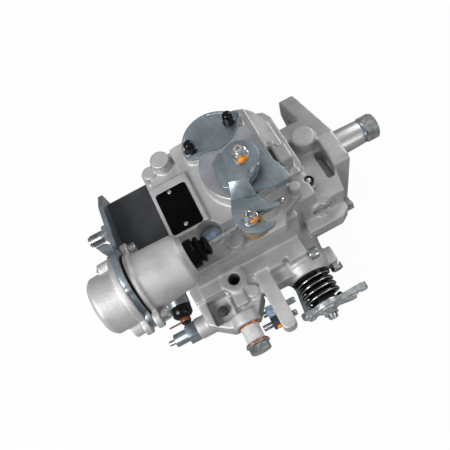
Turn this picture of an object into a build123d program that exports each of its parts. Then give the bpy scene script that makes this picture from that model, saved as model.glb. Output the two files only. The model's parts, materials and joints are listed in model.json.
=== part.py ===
from build123d import *
import os
from math import atan2, cos, degrees, hypot, pi, radians, sin

# Rotary distributor injection pump for a four-cylinder diesel engine.
# Millimetres. X runs along the drive shaft towards the nut, Z is up, the throttle side faces up.
# The origin lies on the shaft axis in the mounting face of the flange.

# Fits
running_fit = 0.05
slip_fit = 0.15
free_gap = 0.4

# Drive end
flange_thickness = 15.0
flange_hole_circle_radius = 42.5
flange_hole_radius = 5.25
flange_hole_angles = (-2.0, 133.0, 246.0)
flange_corner = 6.0
nut_recess_width = 8.0
nut_recess_length = 25.0
nut_recess_floor = 21.0
pilot_radius = 25.0
pilot_length = 5.0
shaft_radius = 12.5
taper_start = 8.0
taper_end = 34.0
taper_small_radius = 11.6
shaft_thread_radius = 7.0
shaft_end = 50.5
shaft_nut_flats = 22.0
shaft_nut_height = 13.0
spring_washer_thickness = 3.0
seal_radius = 19.0
seal_thickness = 8.0

# Housing
joint_level = 40.0
gasket_thickness = 1.0
chamber_radius = 32.0
chamber_front = -62.0
housing_rear = -165.0
pump_bore_front = -42.0
cover_base = joint_level + gasket_thickness
cover_rim_top = cover_base + 7.0
cover_top = 72.0
label_base = 75.0
lever_boss_top = 84.0
lever_boss_radius = 32.5
lever_boss_y = -18.0
recess_rim_top = 67.0
pan_base = 77.0
pan_top = pan_base + 9.0

# Hydraulic head
head_length = 39.0
head_half_width = 36.0
head_top = 40.0
head_rear = housing_rear - head_length
head_spigot_length = 7.0
outlet_offset_y = 22.0
outlet_offset_z = 15.0
pipe_thread_radius = 6.0
plunger_radius = 6.0
barrel_radius = 13.0

# Feed pump and drive train
pump_ring_front = -44.0
pump_ring_rear = -58.0
pump_rotor_radius = 20.0
pump_eccentricity = 3.0
vane_count = 4
support_plate_thickness = 3.0
gear_module = 2.0
drive_gear_teeth = 28
governor_gear_teeth = 18
gear_front = -68.0
gear_rear = -76.0
governor_height = gear_module * (drive_gear_teeth + governor_gear_teeth) / 2
roller_ring_radius = 29.0
roller_count = 4
cam_radius = 27.0
cam_face = -106.0

# Timing device
timing_x = -96.0
timing_z = -45.0
timing_radius = 11.0
timing_spring_start = 22.0

# Throttle
throttle_x = -86.0
throttle_y = -29.0
lever_top = 108.0
lever_thickness = 3.0
hook_top = 97.0
throttle_shaft_radius = 5.0

# Actuator: its axis passes the swivel and is turned a few degrees about Z
swivel_x = -101.0
swivel_y = -66.2
rod_level = 85.0
actuator_yaw = 3.3
rod_radius = 2.0
stud_y = -71.2
slot_half_width = 4.4
ear_reach = 28.6
bracket_ring_radius = 29.5
plate_front = -93.2
plate_rear = -97.4
cup_end = -126.0
boot_end = -51.0

# Cold-start device
cold_x = -72.0
cold_z = -30.0
cold_barrel_radius = 22.5
barrel_root_radius = 27.0
barrel_chamfer = 8.0
cold_seat_radius = 19.0
cold_shaft_radius = 6.0
cold_face_y = -94.0
cold_spring_radius = 15.5
cold_spring_wire = 2.2
wire_sides = 5
coil_steps = 12

# Shut-off solenoid
solenoid_x = -189.0
solenoid_z = -8.0
solenoid_seat = head_half_width
solenoid_end = solenoid_seat + 32.0

# Inlet and adjusting screws
inlet_x = -141.0
inlet_z = -10.0
inlet_face_y = -111.0
banjo_thread_radius = 7.0
washer_thickness = 1.5
washer_radius = 10.5
sleeve_length = 14.0
fuel_port_radius = 2.6
bracket_hole_x = -134.0
bracket_hole_y = -71.0
bracket_hole_radius = 5.4
stop_screw_level = -11.0
stop_screw_rows = (-109.0, -119.5)
slotted_plug_x = -36.0
slotted_plug_z = 10.0

across_x = Plane.YZ
across_y = Plane.XZ
across_z = Plane.XY


def actuator_plane():
    """Plane across the actuator axis, its normal pointing to the lever."""
    yaw = radians(actuator_yaw)
    return Plane(
        origin=(swivel_x, swivel_y, rod_level),
        x_dir=(-sin(yaw), cos(yaw), 0),
        z_dir=(cos(yaw), sin(yaw), 0),
    )


def bar(plane, start, end, radius, u=0.0, v=0.0, mode=Mode.ADD):
    """Round bar normal to the plane between two offsets."""
    with BuildSketch(plane.offset(start)) as outline:
        with Locations((u, v)):
            Circle(radius)
    extrude(outline.sketch, amount=end - start, mode=mode)


def tube(plane, start, end, outer, inner, u=0.0, v=0.0):
    """Round tube normal to the plane between two offsets."""
    with BuildSketch(plane.offset(start)) as outline:
        with Locations((u, v)):
            Circle(outer)
            Circle(inner, mode=Mode.SUBTRACT)
    extrude(outline.sketch, amount=end - start)


def cone(plane, start, end, first, second, u=0.0, v=0.0, mode=Mode.ADD):
    """Cone frustum normal to the plane between two offsets."""
    with BuildSketch(plane.offset(start)) as near:
        with Locations((u, v)):
            Circle(first)
    with BuildSketch(plane.offset(end)) as far:
        with Locations((u, v)):
            Circle(second)
    loft([near.sketch, far.sketch], mode=mode)


def counterclockwise(points):
    """Outline in the order that makes its face look along the plane's normal."""
    following = points[1:] + points[:1]
    area = sum(a[0] * b[1] - b[0] * a[1] for a, b in zip(points, following))
    return points if area > 0 else points[::-1]


def prism(plane, start, end, points, mode=Mode.ADD, taper=0.0, rounding=0.0):
    """Straight prism of a closed outline between two offsets, its corners rounded."""
    with BuildSketch(plane.offset(start)) as outline:
        with BuildLine():
            Polyline(*counterclockwise(points), close=True)
        make_face()
        if rounding:
            fillet(outline.vertices(), rounding)
    extrude(outline.sketch, amount=end - start, taper=taper, mode=mode)


def block(x_pair, y_pair, z_pair, mode=Mode.ADD, rounding=0.0):
    """Box between two corners, its upright edges rounded."""
    points = [
        (x_pair[0], y_pair[0]),
        (x_pair[1], y_pair[0]),
        (x_pair[1], y_pair[1]),
        (x_pair[0], y_pair[1]),
    ]
    prism(across_z, z_pair[0], z_pair[1], points, mode=mode, rounding=rounding)


def hexagon(plane, start, end, flats, u=0.0, v=0.0, turn=0.0, mode=Mode.ADD):
    """Hexagonal bar of a given width across flats."""
    with BuildSketch(plane.offset(start)) as outline:
        with Locations((u, v)):
            RegularPolygon(flats / 2, 6, major_radius=False, rotation=turn)
    extrude(outline.sketch, amount=end - start, mode=mode)


def coil(turns, height, radius, wire, place):
    """Helical spring as a part, its start moved to the place."""
    steps = round(coil_steps * turns)
    points = []
    for step in range(steps + 1):
        angle = 2 * pi * step / coil_steps
        points.append((radius * cos(angle), radius * sin(angle), height * step / steps))
    with BuildPart() as spring:
        with BuildLine() as path:
            Polyline(*points)
        with BuildSketch(Plane(origin=path.line @ 0, z_dir=path.line % 0)):
            RegularPolygon(wire, wire_sides)
        sweep(path=path.line, transition=Transition.RIGHT)
    return spring.part.moved(place)


def gear_outline(teeth, phase):
    """Trapezoid teeth around a circle, thinned for backlash."""
    step = 2 * pi / teeth
    pitch = gear_module * teeth / 2
    tip = pitch + 0.9 * gear_module
    root = pitch - 1.2 * gear_module
    points = []
    for tooth in range(teeth):
        middle = tooth * step + phase
        shape = ((root, -0.34), (tip, -0.13), (tip, 0.13), (root, 0.34))
        for radius, share in shape:
            angle = middle + share * step
            points.append((radius * cos(angle), radius * sin(angle)))
    return points


def polar(radius, degrees, y=0.0, z=0.0):
    """Point on a circle in the plane across the shaft."""
    angle = radians(degrees)
    return (y + radius * cos(angle), z + radius * sin(angle))


actuator = actuator_plane()
flange_outline = [
    (-39, 43),
    (-10, 45),
    (68, 9),
    (68, -13),
    (36, -31),
    (0, -45),
    (-14, -55),
    (-39, -54),
]
body_outline = [
    (-62, joint_level),
    (46, joint_level),
    (46, 6),
    (40, -16),
    (26, -34),
    (10, -40),
    (-14, -40),
    (-40, -34),
    (-62, -24),
]
front_outline = [
    (-52, joint_level),
    (38, joint_level),
    (38, -10),
    (26, -30),
    (8, -38),
    (-12, -38),
    (-36, -30),
    (-52, -18),
]
cover_outline = [
    (-162, 36),
    (-150, 47),
    (-64, 47),
    (-42, 38),
    (-38, 30),
    (-38, -24),
    (-52, -50),
    (-70, -58),
    (-76, -68),
    (-156, -68),
    (-163, -60),
]
housing_seat = [
    (-165, 36),
    (-150, 47),
    (-64, 47),
    (-42, 38),
    (-38, 30),
    (-38, -24),
    (-52, -50),
    (-70, -58),
    (-76, -68),
    (-156, -68),
    (-165, -60),
]
cover_screws_at = [(-132, -53.5), (-112, 40), (-76, 40)]
cover_screw_seats = (59.0, 48.0, 48.0)
pan_screws_at = ((-114.5, 11), (-77, 18.5))
ball_plug_at = (-38.7, -37.0)
rivets_at = ((-145.5, -7.5), (-144.5, -39.5))

# Pump housing
with BuildPart() as pump_housing:
    prism(across_x, -flange_thickness, 0, flange_outline, rounding=flange_corner)
    bar(across_x, 0, pilot_length, pilot_radius)
    bar(across_x, -62, -flange_thickness, 37)
    prism(across_x, housing_rear, -62, body_outline)
    prism(across_x, -62, -40, front_outline)
    prism(across_z, 30, joint_level, housing_seat)
    # Front boss, rib and lug beside the flange
    bar(across_z, 20, 50, 10.3, -25, -4)
    block((-36, -13), (-3, 3), (30, 44))
    block((-54, -13), (-53, -30), (-22, 20))
    prism(across_z, -22, -4, [(-54, -50), (-13, -50), (-13, -60), (-21, -65), (-54, -65)])
    prism(across_x, -44, -13, [(-52, 20), (-38, 36), (-10, 36), (-10, 20)])
    bar(across_z, 20, 33, 7.5, *ball_plug_at)
    bar(across_y, 50, 55.5, 12, slotted_plug_x, slotted_plug_z)
    # Timing barrel
    bar(across_y, -54, 50, 16, timing_x, timing_z)
    block((timing_x - 16, timing_x + 16), (-50, 54), (timing_z, -20))
    # Cold-start barrel, its swollen root and the web to the arm
    cone_start = -cold_face_y - barrel_chamfer
    bar(across_y, 40, cone_start, cold_barrel_radius, cold_x, cold_z)
    cone(across_y, cone_start, -cold_face_y, cold_barrel_radius, cold_seat_radius, cold_x, cold_z)
    cone(across_y, 46, 78, barrel_root_radius, cold_barrel_radius, cold_x, cold_z)
    block((-106, cold_x), (-90, -60), (-34, -12))
    block((-58, -42), (-92, -76), (-42, -26))
    # Side ledge with its tab, its notch and the bracket boss
    block((-165, -84), (-75, -58), (-16, 0))
    block((-103, -88.5), (-79, -60), (-16, 0))
    block((-84, -66), (-81, -60), (-16, 0))
    bar(across_z, -34, 1.5, 12, bracket_hole_x, bracket_hole_y)
    # Inlet block
    inlet_block = [(-176, -58), (-118, -58), (-118, -92), (-130, -108), (-156, -108), (-172, -96)]
    prism(across_z, -34, -5, inlet_block, rounding=3)
    block((-174, -165), (-74, -38), (-30, -3))
    block((-142.4, -131), (-95.5, -70), (-20, 0), rounding=1.5)
    bar(across_z, -20, -2, 6, -124.5, -87)
    bar(across_y, 100, -inlet_face_y, 13, inlet_x, inlet_z)
    # Nipple boss
    bar(across_x, -184, -164, 10, -90, -20)
    # Arm of the stop screws
    block((-116, -103), (-131, -60), (-20, -1), rounding=5)
    # Pedestal of the governor shaft
    block((-61, -50), (-8, 8), (30, governor_height + 8))
    # Bearing bore, seal pocket and feed-pump bore
    bar(across_x, -70, 10, shaft_radius + running_fit, mode=Mode.SUBTRACT)
    bar(across_x, -seal_thickness, pilot_length, seal_radius, mode=Mode.SUBTRACT)
    bar(across_x, chamber_front, pump_bore_front, chamber_radius, mode=Mode.SUBTRACT)
    # Cam chamber and the opening up to the cover
    bar(across_x, housing_rear, chamber_front, chamber_radius, mode=Mode.SUBTRACT)
    block((-156, chamber_front), (-28, 28), (0, 60), mode=Mode.SUBTRACT)
    # Timing bore and pin slot
    bar(across_y, -54, 44, timing_radius + running_fit, timing_x, timing_z, mode=Mode.SUBTRACT)
    block((timing_x - 5, timing_x + 5), (-14, 14), (timing_z, -20), mode=Mode.SUBTRACT)
    # Cold-start shaft bore
    bore_radius = cold_shaft_radius + running_fit
    bar(across_y, 38, 100, bore_radius, cold_x, cold_z, mode=Mode.SUBTRACT)
    # Fuel inlet
    bar(across_y, 80, 120, banjo_thread_radius, inlet_x, inlet_z, mode=Mode.SUBTRACT)
    fuel_port_x = inlet_x - banjo_thread_radius + fuel_port_radius
    bar(across_y, 20, 80, fuel_port_radius, fuel_port_x, inlet_z, mode=Mode.SUBTRACT)
    # Bracket hole and window pocket
    bar(across_z, -36, 4, bracket_hole_radius, bracket_hole_x, bracket_hole_y, mode=Mode.SUBTRACT)
    block((-166, -147), (-100, -76), (-16, 0), mode=Mode.SUBTRACT)
    # Flange holes
    for angle in flange_hole_angles:
        hole = polar(flange_hole_circle_radius, angle)
        bar(across_x, -20, 4, flange_hole_radius, *hole, mode=Mode.SUBTRACT)
    # Recess for the nut behind the upper flange hole
    nut_y = polar(flange_hole_circle_radius, flange_hole_angles[1])[0]
    with BuildSketch(Plane.XY.offset(nut_recess_floor)) as recess:
        with Locations((-flange_thickness - nut_recess_width / 2, nut_y)):
            RectangleRounded(nut_recess_width, nut_recess_length, 3)
    extrude(recess.sketch, amount=40, mode=Mode.SUBTRACT)
    # Governor shaft hole
    bar(across_x, -62, -52, 3.5, 0, governor_height, mode=Mode.SUBTRACT)
    # Holes of the stop screws and the slotted plug
    for y in stop_screw_rows:
        bar(across_x, -120, -100, 3, y, stop_screw_level, mode=Mode.SUBTRACT)
    bar(across_y, 46, 60, 9, slotted_plug_x, slotted_plug_z, mode=Mode.SUBTRACT)
    bar(across_z, 32, 42, 3.6, *ball_plug_at, mode=Mode.SUBTRACT)
pump_housing.part.label = "pump_housing"

# Cover gasket
with BuildPart() as cover_gasket:
    prism(across_z, joint_level, cover_base, cover_outline)
    block((-157, -46), (-29, 29), (30, 60), mode=Mode.SUBTRACT)
cover_gasket.part.label = "cover_gasket"

# Governor cover
def pan_leaf(start, end, mode=Mode.ADD):
    """Leaf-shaped slab under and in the pan cover: two long arcs joined by rounded ends."""
    with BuildSketch(Plane.XY.offset(start)) as leaf:
        with BuildLine():
            ThreePointArc((-121, 14), (-105.5, 34), (-79, 32))
            Line((-79, 32), (-68, 24.5))
            ThreePointArc((-68, 24.5), (-66.2, 20.5), (-68.5, 16.5))
            ThreePointArc((-68.5, 16.5), (-79.5, 5.5), (-94, 0.8))
            Line((-94, 0.8), (-116.5, 6.4))
            ThreePointArc((-116.5, 6.4), (-120.6, 9.2), (-121, 14))
        make_face()
    extrude(leaf.sketch, amount=end - start, mode=mode)


with BuildPart() as governor_cover:
    prism(across_z, cover_base, cover_rim_top, cover_outline)
    dome = [
        (-160, 22),
        (-138, 37),
        (-66, 43),
        (-50, 36),
        (-44, 26),
        (-44, -22),
        (-58, -44),
        (-78, -58),
        (-124, -58),
        (-160, -50),
    ]
    prism(across_z, cover_rim_top, cover_top, dome, taper=14)
    label_pad = ((-160, -127), (-47, 4))
    block(*label_pad, (46, label_base))
    block(*label_pad, (label_base, 95), mode=Mode.SUBTRACT)
    bar(across_z, 50, lever_boss_top, lever_boss_radius, throttle_x, lever_boss_y)
    bar(across_z, lever_boss_top, 90, 9, throttle_x, throttle_y)
    pan_leaf(60, pan_base)
    bar(across_z, cover_base, 67, 8.5, -142, 29.5)
    bar(across_z, cover_base, 57, 6.5, -155, 29.5)
    # Slope towards the flange
    slope = [(-58, 95), (-58, 78), (-44, 53), (-30, 53), (-30, 95)]
    prism(Plane.XZ.offset(-60), 0, 120, slope, mode=Mode.SUBTRACT)
    # Screw bosses
    for (x, y), top in zip(cover_screws_at, cover_screw_seats):
        bar(across_z, cover_base, top, 6.6, x, y)
    bar(across_z, cover_base, recess_rim_top, 12, *cover_screws_at[0])
    bar(across_z, cover_base, 57, 7.3, -117.5, -62)
    # Square lug and its post
    block((-57, -45), (-27, -12), (42, 67), rounding=1.5)
    block((-52, -46), (-14, -4), (42, 64))
    bar(across_z, 42, 69, 3.2, -55, -8)
    bar(across_z, cover_base, 58, 4.6, -55.5, -46)
    # Short rib towards the flange
    block((-60, -44), (-34, -28), (42, 52))
    # Inside
    block((-152, -62), (-26, 26), (30, 67.5), mode=Mode.SUBTRACT)
    block((-63, -49), (-10, 10), (30, 56), mode=Mode.SUBTRACT)
    block((-100, -72), (-40, -20), (30, 52), mode=Mode.SUBTRACT)
    bore_radius = throttle_shaft_radius + running_fit
    bar(across_z, 30, 100, bore_radius, throttle_x, throttle_y, mode=Mode.SUBTRACT)
    # Screw seats and the deep recess
    for (x, y), top in zip(cover_screws_at, cover_screw_seats):
        bar(across_z, top, 90, 6.8, x, y, mode=Mode.SUBTRACT)
    bar(across_z, cover_screw_seats[0], 90, 9.5, *cover_screws_at[0], mode=Mode.SUBTRACT)
    pan_leaf(pan_base, 90, mode=Mode.SUBTRACT)
governor_cover.part.label = "governor_cover"

# Cover screws with their washers
with BuildPart() as cover_screws:
    for (x, y), top in zip(cover_screws_at, cover_screw_seats):
        bar(across_z, top, top + 1.2, 6.4, x, y)
        hexagon(across_z, top + 1.2, top + 5.5, 8, x, y)
cover_screws.part.label = "cover_screws"

# Pan cover with its two cap screws
with BuildPart() as pan_cover:
    pan_leaf(pan_base, pan_top)
pan_cover.part.label = "pan_cover"

with BuildPart() as cap_screws:
    for x, y in pan_screws_at:
        bar(across_z, pan_top, pan_top + 8, 4.4, x, y)
        cone(across_z, pan_top + 8, pan_top + 11, 4.4, 2.8, x, y)
cap_screws.part.label = "cap_screws"

# Label plate with its two rivets
with BuildPart() as label_plate:
    block((-157.5, -131), (-44, -4.5), (label_base, label_base + 0.6), rounding=2.6)
    for x, y in rivets_at:
        bar(across_z, label_base + 0.6, label_base + 1.4, 1.9, x, y)
label_plate.part.label = "label_plate"

# Hydraulic head
outlets = []
for quarter in range(4):
    angle = radians(90 * quarter)
    outlet_y = outlet_offset_y * cos(angle) - outlet_offset_z * sin(angle)
    outlet_z = outlet_offset_y * sin(angle) + outlet_offset_z * cos(angle)
    outlets.append((outlet_y, outlet_z))
head_outline = [
    (-head_half_width, head_top - 3),
    (-head_half_width + 3, head_top),
    (head_half_width - 3, head_top),
    (head_half_width, head_top - 3),
    (head_half_width, -28),
    (head_half_width - 10, -38),
    (-head_half_width + 10, -38),
    (-head_half_width, -28),
]
with BuildPart() as hydraulic_head:
    prism(across_x, head_rear, housing_rear, head_outline)
    bar(across_x, housing_rear, housing_rear + head_spigot_length, chamber_radius - running_fit)
    bar(across_x, head_rear, -150, barrel_radius, mode=Mode.SUBTRACT)
    seat = head_half_width - 6.5
    bar(across_y, seat, head_half_width + 4, 10, solenoid_x, solenoid_z, mode=Mode.SUBTRACT)
hydraulic_head.part.label = "hydraulic_head"

# Distributor barrel pressed into the head
with BuildPart() as plunger_barrel:
    tube(across_x, -198, housing_rear + 4, barrel_radius, plunger_radius + running_fit)
plunger_barrel.part.label = "plunger_barrel"

with BuildPart() as head_plug:
    bar(across_x, head_rear, -198.2, barrel_radius - slip_fit)
    hexagon(across_x, head_rear - 6, head_rear, 17)
head_plug.part.label = "head_plug"

# Delivery valves and their holders
with BuildPart() as delivery_valve_holders:
    for y, z in outlets:
        hexagon(across_x, head_rear - 18, head_rear, 16, y, z, turn=15)
        bar(across_x, head_rear - 34, head_rear - 18, pipe_thread_radius, y, z)
delivery_valve_holders.part.label = "delivery_valve_holders"

# Head screws; the upper two also hold the bracket
with BuildPart() as head_screws:
    for y in (-30, 30):
        for z in (-30, 30):
            seat = head_rear - 4 if z > 0 else head_rear
            bar(across_x, seat - 5, seat, 4.8, y, z)
head_screws.part.label = "head_screws"

# Bent bracket plate: strip in plan, trimmed to its outline seen along X
bracket_outline = [
    (44, 9),
    (44, 44),
    (24, 57),
    (-20, 64),
    (-38, 74),
    (-38, 108),
    (-84, 112),
    (-88, 62),
    (-62, 56),
    (-40, 30),
    (-36, 9),
]
with BuildPart() as actuator_bracket:
    strip = [
        (-204, 44),
        (-204, -36.5),
        (-193, -46),
        (-189, -108),
        (-199, -108),
        (-202, -48),
        (-208, -38),
        (-208, 44),
    ]
    prism(across_z, 0, 124, strip)
    with BuildSketch(Plane.YZ.offset(-212)) as outline:
        with BuildLine():
            Polyline(*bracket_outline, close=True)
        make_face()
        fillet(outline.vertices(), 5)
        with Locations((swivel_y, rod_level)):
            Circle(bracket_ring_radius)
        for u in (-ear_reach, ear_reach):
            with Locations((swivel_y + u, rod_level)):
                Circle(8.2)
    extrude(outline.sketch, amount=24, mode=Mode.INTERSECT)
    for y, z in outlets[:2]:
        bar(across_x, -212, -200, 11.5, y, z, mode=Mode.SUBTRACT)
    bar(actuator, -120, plate_rear, 35, mode=Mode.SUBTRACT)
    bar(actuator, plate_front, -75, 35, mode=Mode.SUBTRACT)
    bar(actuator, -112, -85, 17, mode=Mode.SUBTRACT)
actuator_bracket.part.label = "actuator_bracket"

# Actuator rear cup
with BuildPart() as actuator_cup:
    bar(actuator, plate_rear - 5, plate_rear, 28)
    for u in (-ear_reach, ear_reach):
        bar(actuator, plate_rear - 5, plate_rear, 7, u, 0)
    bar(actuator, cup_end + 5, plate_rear - 5, 22.5)
    cone(actuator, cup_end + 2, cup_end + 5, 20, 22.5)
    bar(actuator, cup_end, cup_end + 2, 11.5)
    bar(actuator, cup_end + 12, plate_rear, 9, -18, -16)
    bar(actuator, cup_end + 15, plate_rear, 5, 19, 14)
    bar(actuator, cup_end + 6, plate_rear, 18, mode=Mode.SUBTRACT)
actuator_cup.part.label = "actuator_cup"

# Actuator front body
with BuildPart() as actuator_body:
    bar(actuator, plate_front, plate_front + 5, 25)
    for u in (-ear_reach, ear_reach):
        bar(actuator, plate_front, plate_front + 5, 7, u, 0)
    cone(actuator, plate_front + 5, -56, 23, 20.5)
    cone(actuator, -56, -51, 20.5, 16)
    bar(actuator, plate_front, -56, 18, mode=Mode.SUBTRACT)
    bar(actuator, -60, -50, rod_radius + free_gap, mode=Mode.SUBTRACT)
actuator_body.part.label = "actuator_body"

with BuildPart() as actuator_screws:
    for u in (-ear_reach, ear_reach):
        bar(actuator, plate_front + 5, plate_front + 11, 4.6, u, 0)
actuator_screws.part.label = "actuator_screws"

# Rolling diaphragm, carried by the rod
with BuildPart() as actuator_diaphragm:
    tube(actuator, plate_rear + 1, plate_front - 1, 16.6, rod_radius)
actuator_diaphragm.part.label = "actuator_diaphragm"

# Rod boot: rubber with folds
with BuildPart() as rod_boot:
    bar(actuator, -51, -45, 11)
    bar(actuator, -45, -40, 9.6)
    bar(actuator, -40, -35, 7)
    bar(actuator, -52, -34, rod_radius + free_gap, mode=Mode.SUBTRACT)
rod_boot.part.label = "rod_boot"

# Actuator rod and swivel block
with BuildPart() as actuator_rod:
    bar(actuator, plate_rear - 2, 29, rod_radius)
    bar(actuator, plate_rear - 1.2, plate_rear + 1, 12)
actuator_rod.part.label = "actuator_rod"

with BuildPart() as swivel_block:
    with BuildSketch(Plane.XY.offset(rod_level - 4.5)):
        with Locations(Location((swivel_x, stud_y - 0.6, 0), (0, 0, actuator_yaw))):
            RectangleRounded(17, 18, 3)
    extrude(amount=13.0)
    bar(actuator, -12, 12, rod_radius, mode=Mode.SUBTRACT)
    with BuildSketch(Plane.XY.offset(rod_level - 8)):
        with Locations((swivel_x, stud_y - 1.8)):
            SlotOverall(10, 6.2, rotation=90)
    extrude(amount=20, mode=Mode.SUBTRACT)
swivel_block.part.label = "swivel_block"

# Throttle shaft with its inner crank
with BuildPart() as throttle_shaft:
    bar(across_z, 44, lever_top - lever_thickness, throttle_shaft_radius, throttle_x, throttle_y)
    bar(across_z, lever_top - lever_thickness, lever_top + 11, 3, throttle_x, throttle_y)
    crank = [
        (throttle_x - 5, throttle_y - 5),
        (throttle_x + 5, throttle_y - 5),
        (throttle_x + 4, -20.5),
        (throttle_x - 4, -20.5),
    ]
    prism(across_z, 41.5, 44, crank)
    bar(across_z, 44, 50, 1.5, throttle_x, -22.2)
throttle_shaft.part.label = "throttle_shaft"

# Throttle lever
with BuildPart() as throttle_lever:
    upper = [(-99.5, -25), (-104.5, -47), (-89.5, -50), (-88, -45), (-76, -38)]
    prism(across_z, lever_top - lever_thickness, lever_top, upper)
    bar(across_z, lever_top - lever_thickness, lever_top, 14, throttle_x, throttle_y)
    slope = [
        (-44.5, lever_top),
        (-48, lever_top),
        (-57, hook_top),
        (-57, hook_top - lever_thickness),
        (-53, hook_top - lever_thickness),
        (-46, lever_top - lever_thickness),
    ]
    prism(across_x, -107, -89, slope)
    hook_base = hook_top - lever_thickness
    hook = [(-107, -53), (-112, -66), (-110, -79), (-97, -85), (-84, -86), (-82, -62), (-88, -53)]
    prism(across_z, hook_base, hook_top, hook, rounding=2)
    # Slot that grips the swivel stud
    slot_floor = hook_top - 7
    slot_roof = hook_top + 3
    bar(across_z, slot_floor, slot_roof, slot_half_width, swivel_x, stud_y, mode=Mode.SUBTRACT)
    slot = [
        (swivel_x, stud_y - slot_half_width),
        (swivel_x, stud_y + slot_half_width),
        (-78, -69.5),
        (-78, -80),
    ]
    prism(across_z, slot_floor, slot_roof, slot, mode=Mode.SUBTRACT)
    bar(across_z, lever_top - 8, lever_top + 2, 3, throttle_x, throttle_y, mode=Mode.SUBTRACT)
    # Side gusset
    prism(across_z, hook_top, lever_top - lever_thickness, [(-76, -38), (-88, -46), (-88, -43), (-78, -36)])
throttle_lever.part.label = "throttle_lever"

# Lever nut and swivel stud with nut
with BuildPart() as lever_nuts:
    hexagon(across_z, lever_top, lever_top + 7, 10, throttle_x, throttle_y)
    bar(across_z, lever_top, lever_top + 1.2, 6.6, throttle_x, throttle_y)
    bar(across_z, lever_top - 1, lever_top + 8, 3, throttle_x, throttle_y, mode=Mode.SUBTRACT)
    bar(across_z, 80, hook_top + 10, 2.6, swivel_x, stud_y)
    bar(across_z, 78.5, 80, 5.0, swivel_x, stud_y)
    bar(across_z, hook_top, hook_top + 1.2, 6.2, swivel_x, stud_y)
    hexagon(across_z, hook_top + 1.2, hook_top + 9, 9, swivel_x, stud_y)
lever_nuts.part.label = "lever_nuts"

# Stop plate under the lever and the lever return spring on it
return_coil = coil(2, 7.6, 8.0, 1.1, Location((throttle_x, throttle_y, 93.7)))
with BuildPart() as stop_plate:
    plate = [
        (-106, -14),
        (-98, -8),
        (-72, -16),
        (-62, -40),
        (-60, -52),
        (-73, -54),
        (-86, -52),
        (-107, -36),
    ]
    prism(across_z, 90, 92.5, plate)
    block((-73, -60), (-54.5, -52), (84.4, 92.5))
    bar(across_z, 88, 94, throttle_shaft_radius + free_gap, throttle_x, throttle_y, mode=Mode.SUBTRACT)
    add(return_coil)
stop_plate.part.label = "stop_plate"

# Drive shaft with its claws, and the key
with BuildPart() as drive_shaft:
    bar(across_x, -86, taper_start, shaft_radius)
    cone(across_x, taper_start, taper_end, shaft_radius, taper_small_radius)
    bar(across_x, taper_end, shaft_end, shaft_thread_radius)
    bar(across_x, -86, -79, 16)
    for z in (-13, 13):
        block((-100, -84), (-4, 4), (z - 2.2, z + 2.2))
    block((12, 26), (-2, 2), (-14, -9.2), mode=Mode.SUBTRACT)
drive_shaft.part.label = "drive_shaft"

with BuildPart() as shaft_key:
    block((12.1, 25.9), (-1.95, 1.95), (-13.2, -9.3))
shaft_key.part.label = "shaft_key"

with BuildPart() as spring_washer:
    washer_rear = taper_end
    washer_front = taper_end + spring_washer_thickness
    tube(across_x, washer_rear, washer_front, 11.5, shaft_thread_radius + slip_fit)
    block((washer_rear - 1, washer_front + 1), (-14, -5), (-0.8, 0.8), mode=Mode.SUBTRACT)
spring_washer.part.label = "spring_washer"

with BuildPart() as shaft_nut:
    hexagon(across_x, washer_front, washer_front + shaft_nut_height, shaft_nut_flats, turn=15)
    bar(across_x, washer_front - 1, 60, shaft_thread_radius, mode=Mode.SUBTRACT)
shaft_nut.part.label = "shaft_nut"

with BuildPart() as shaft_seal:
    tube(across_x, -seal_thickness, 0, seal_radius, shaft_radius + running_fit)
shaft_seal.part.label = "shaft_seal"

# Vane feed pump
with BuildPart() as pump_ring:
    with BuildSketch(Plane.YZ.offset(pump_ring_rear)):
        Circle(chamber_radius - running_fit)
        with Locations((0, pump_eccentricity)):
            Circle(pump_rotor_radius + pump_eccentricity + 0.3, mode=Mode.SUBTRACT)
    extrude(amount=pump_ring_front - pump_ring_rear)
    plate_end = pump_ring_rear - support_plate_thickness
    tube(across_x, plate_end, pump_ring_rear, chamber_radius - running_fit, shaft_radius + slip_fit)
pump_ring.part.label = "pump_ring"

with BuildPart() as pump_rotor:
    bar(across_x, pump_ring_rear, pump_ring_front, pump_rotor_radius)
    bar(across_x, pump_ring_rear - 1, pump_ring_front + 1, shaft_radius, mode=Mode.SUBTRACT)
    for turn in range(vane_count):
        slot = Plane.YZ.offset(pump_ring_rear - 1)
        with BuildSketch(slot):
            with PolarLocations(17, 1, start_angle=45 + 90 * turn):
                Rectangle(6.4, 2.1)
        extrude(amount=20, mode=Mode.SUBTRACT)
    for turn in range(vane_count):
        with BuildSketch(Plane.YZ.offset(pump_ring_rear)):
            with PolarLocations(16.9, 1, start_angle=45 + 90 * turn):
                Rectangle(5.8, 2.0)
        extrude(amount=pump_ring_front - pump_ring_rear)
pump_rotor.part.label = "pump_rotor"

# Governor drive gear on the shaft
with BuildPart() as drive_gear:
    prism(across_x, gear_rear, gear_front, gear_outline(drive_gear_teeth, pi / 2))
    bar(across_x, gear_rear - 1, gear_front + 1, shaft_radius, mode=Mode.SUBTRACT)
drive_gear.part.label = "drive_gear"

# Governor shaft, gear and flyweights
with BuildPart() as governor_shaft:
    bar(across_x, -124, -52, 3.5, 0, governor_height)
governor_shaft.part.label = "governor_shaft"

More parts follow.
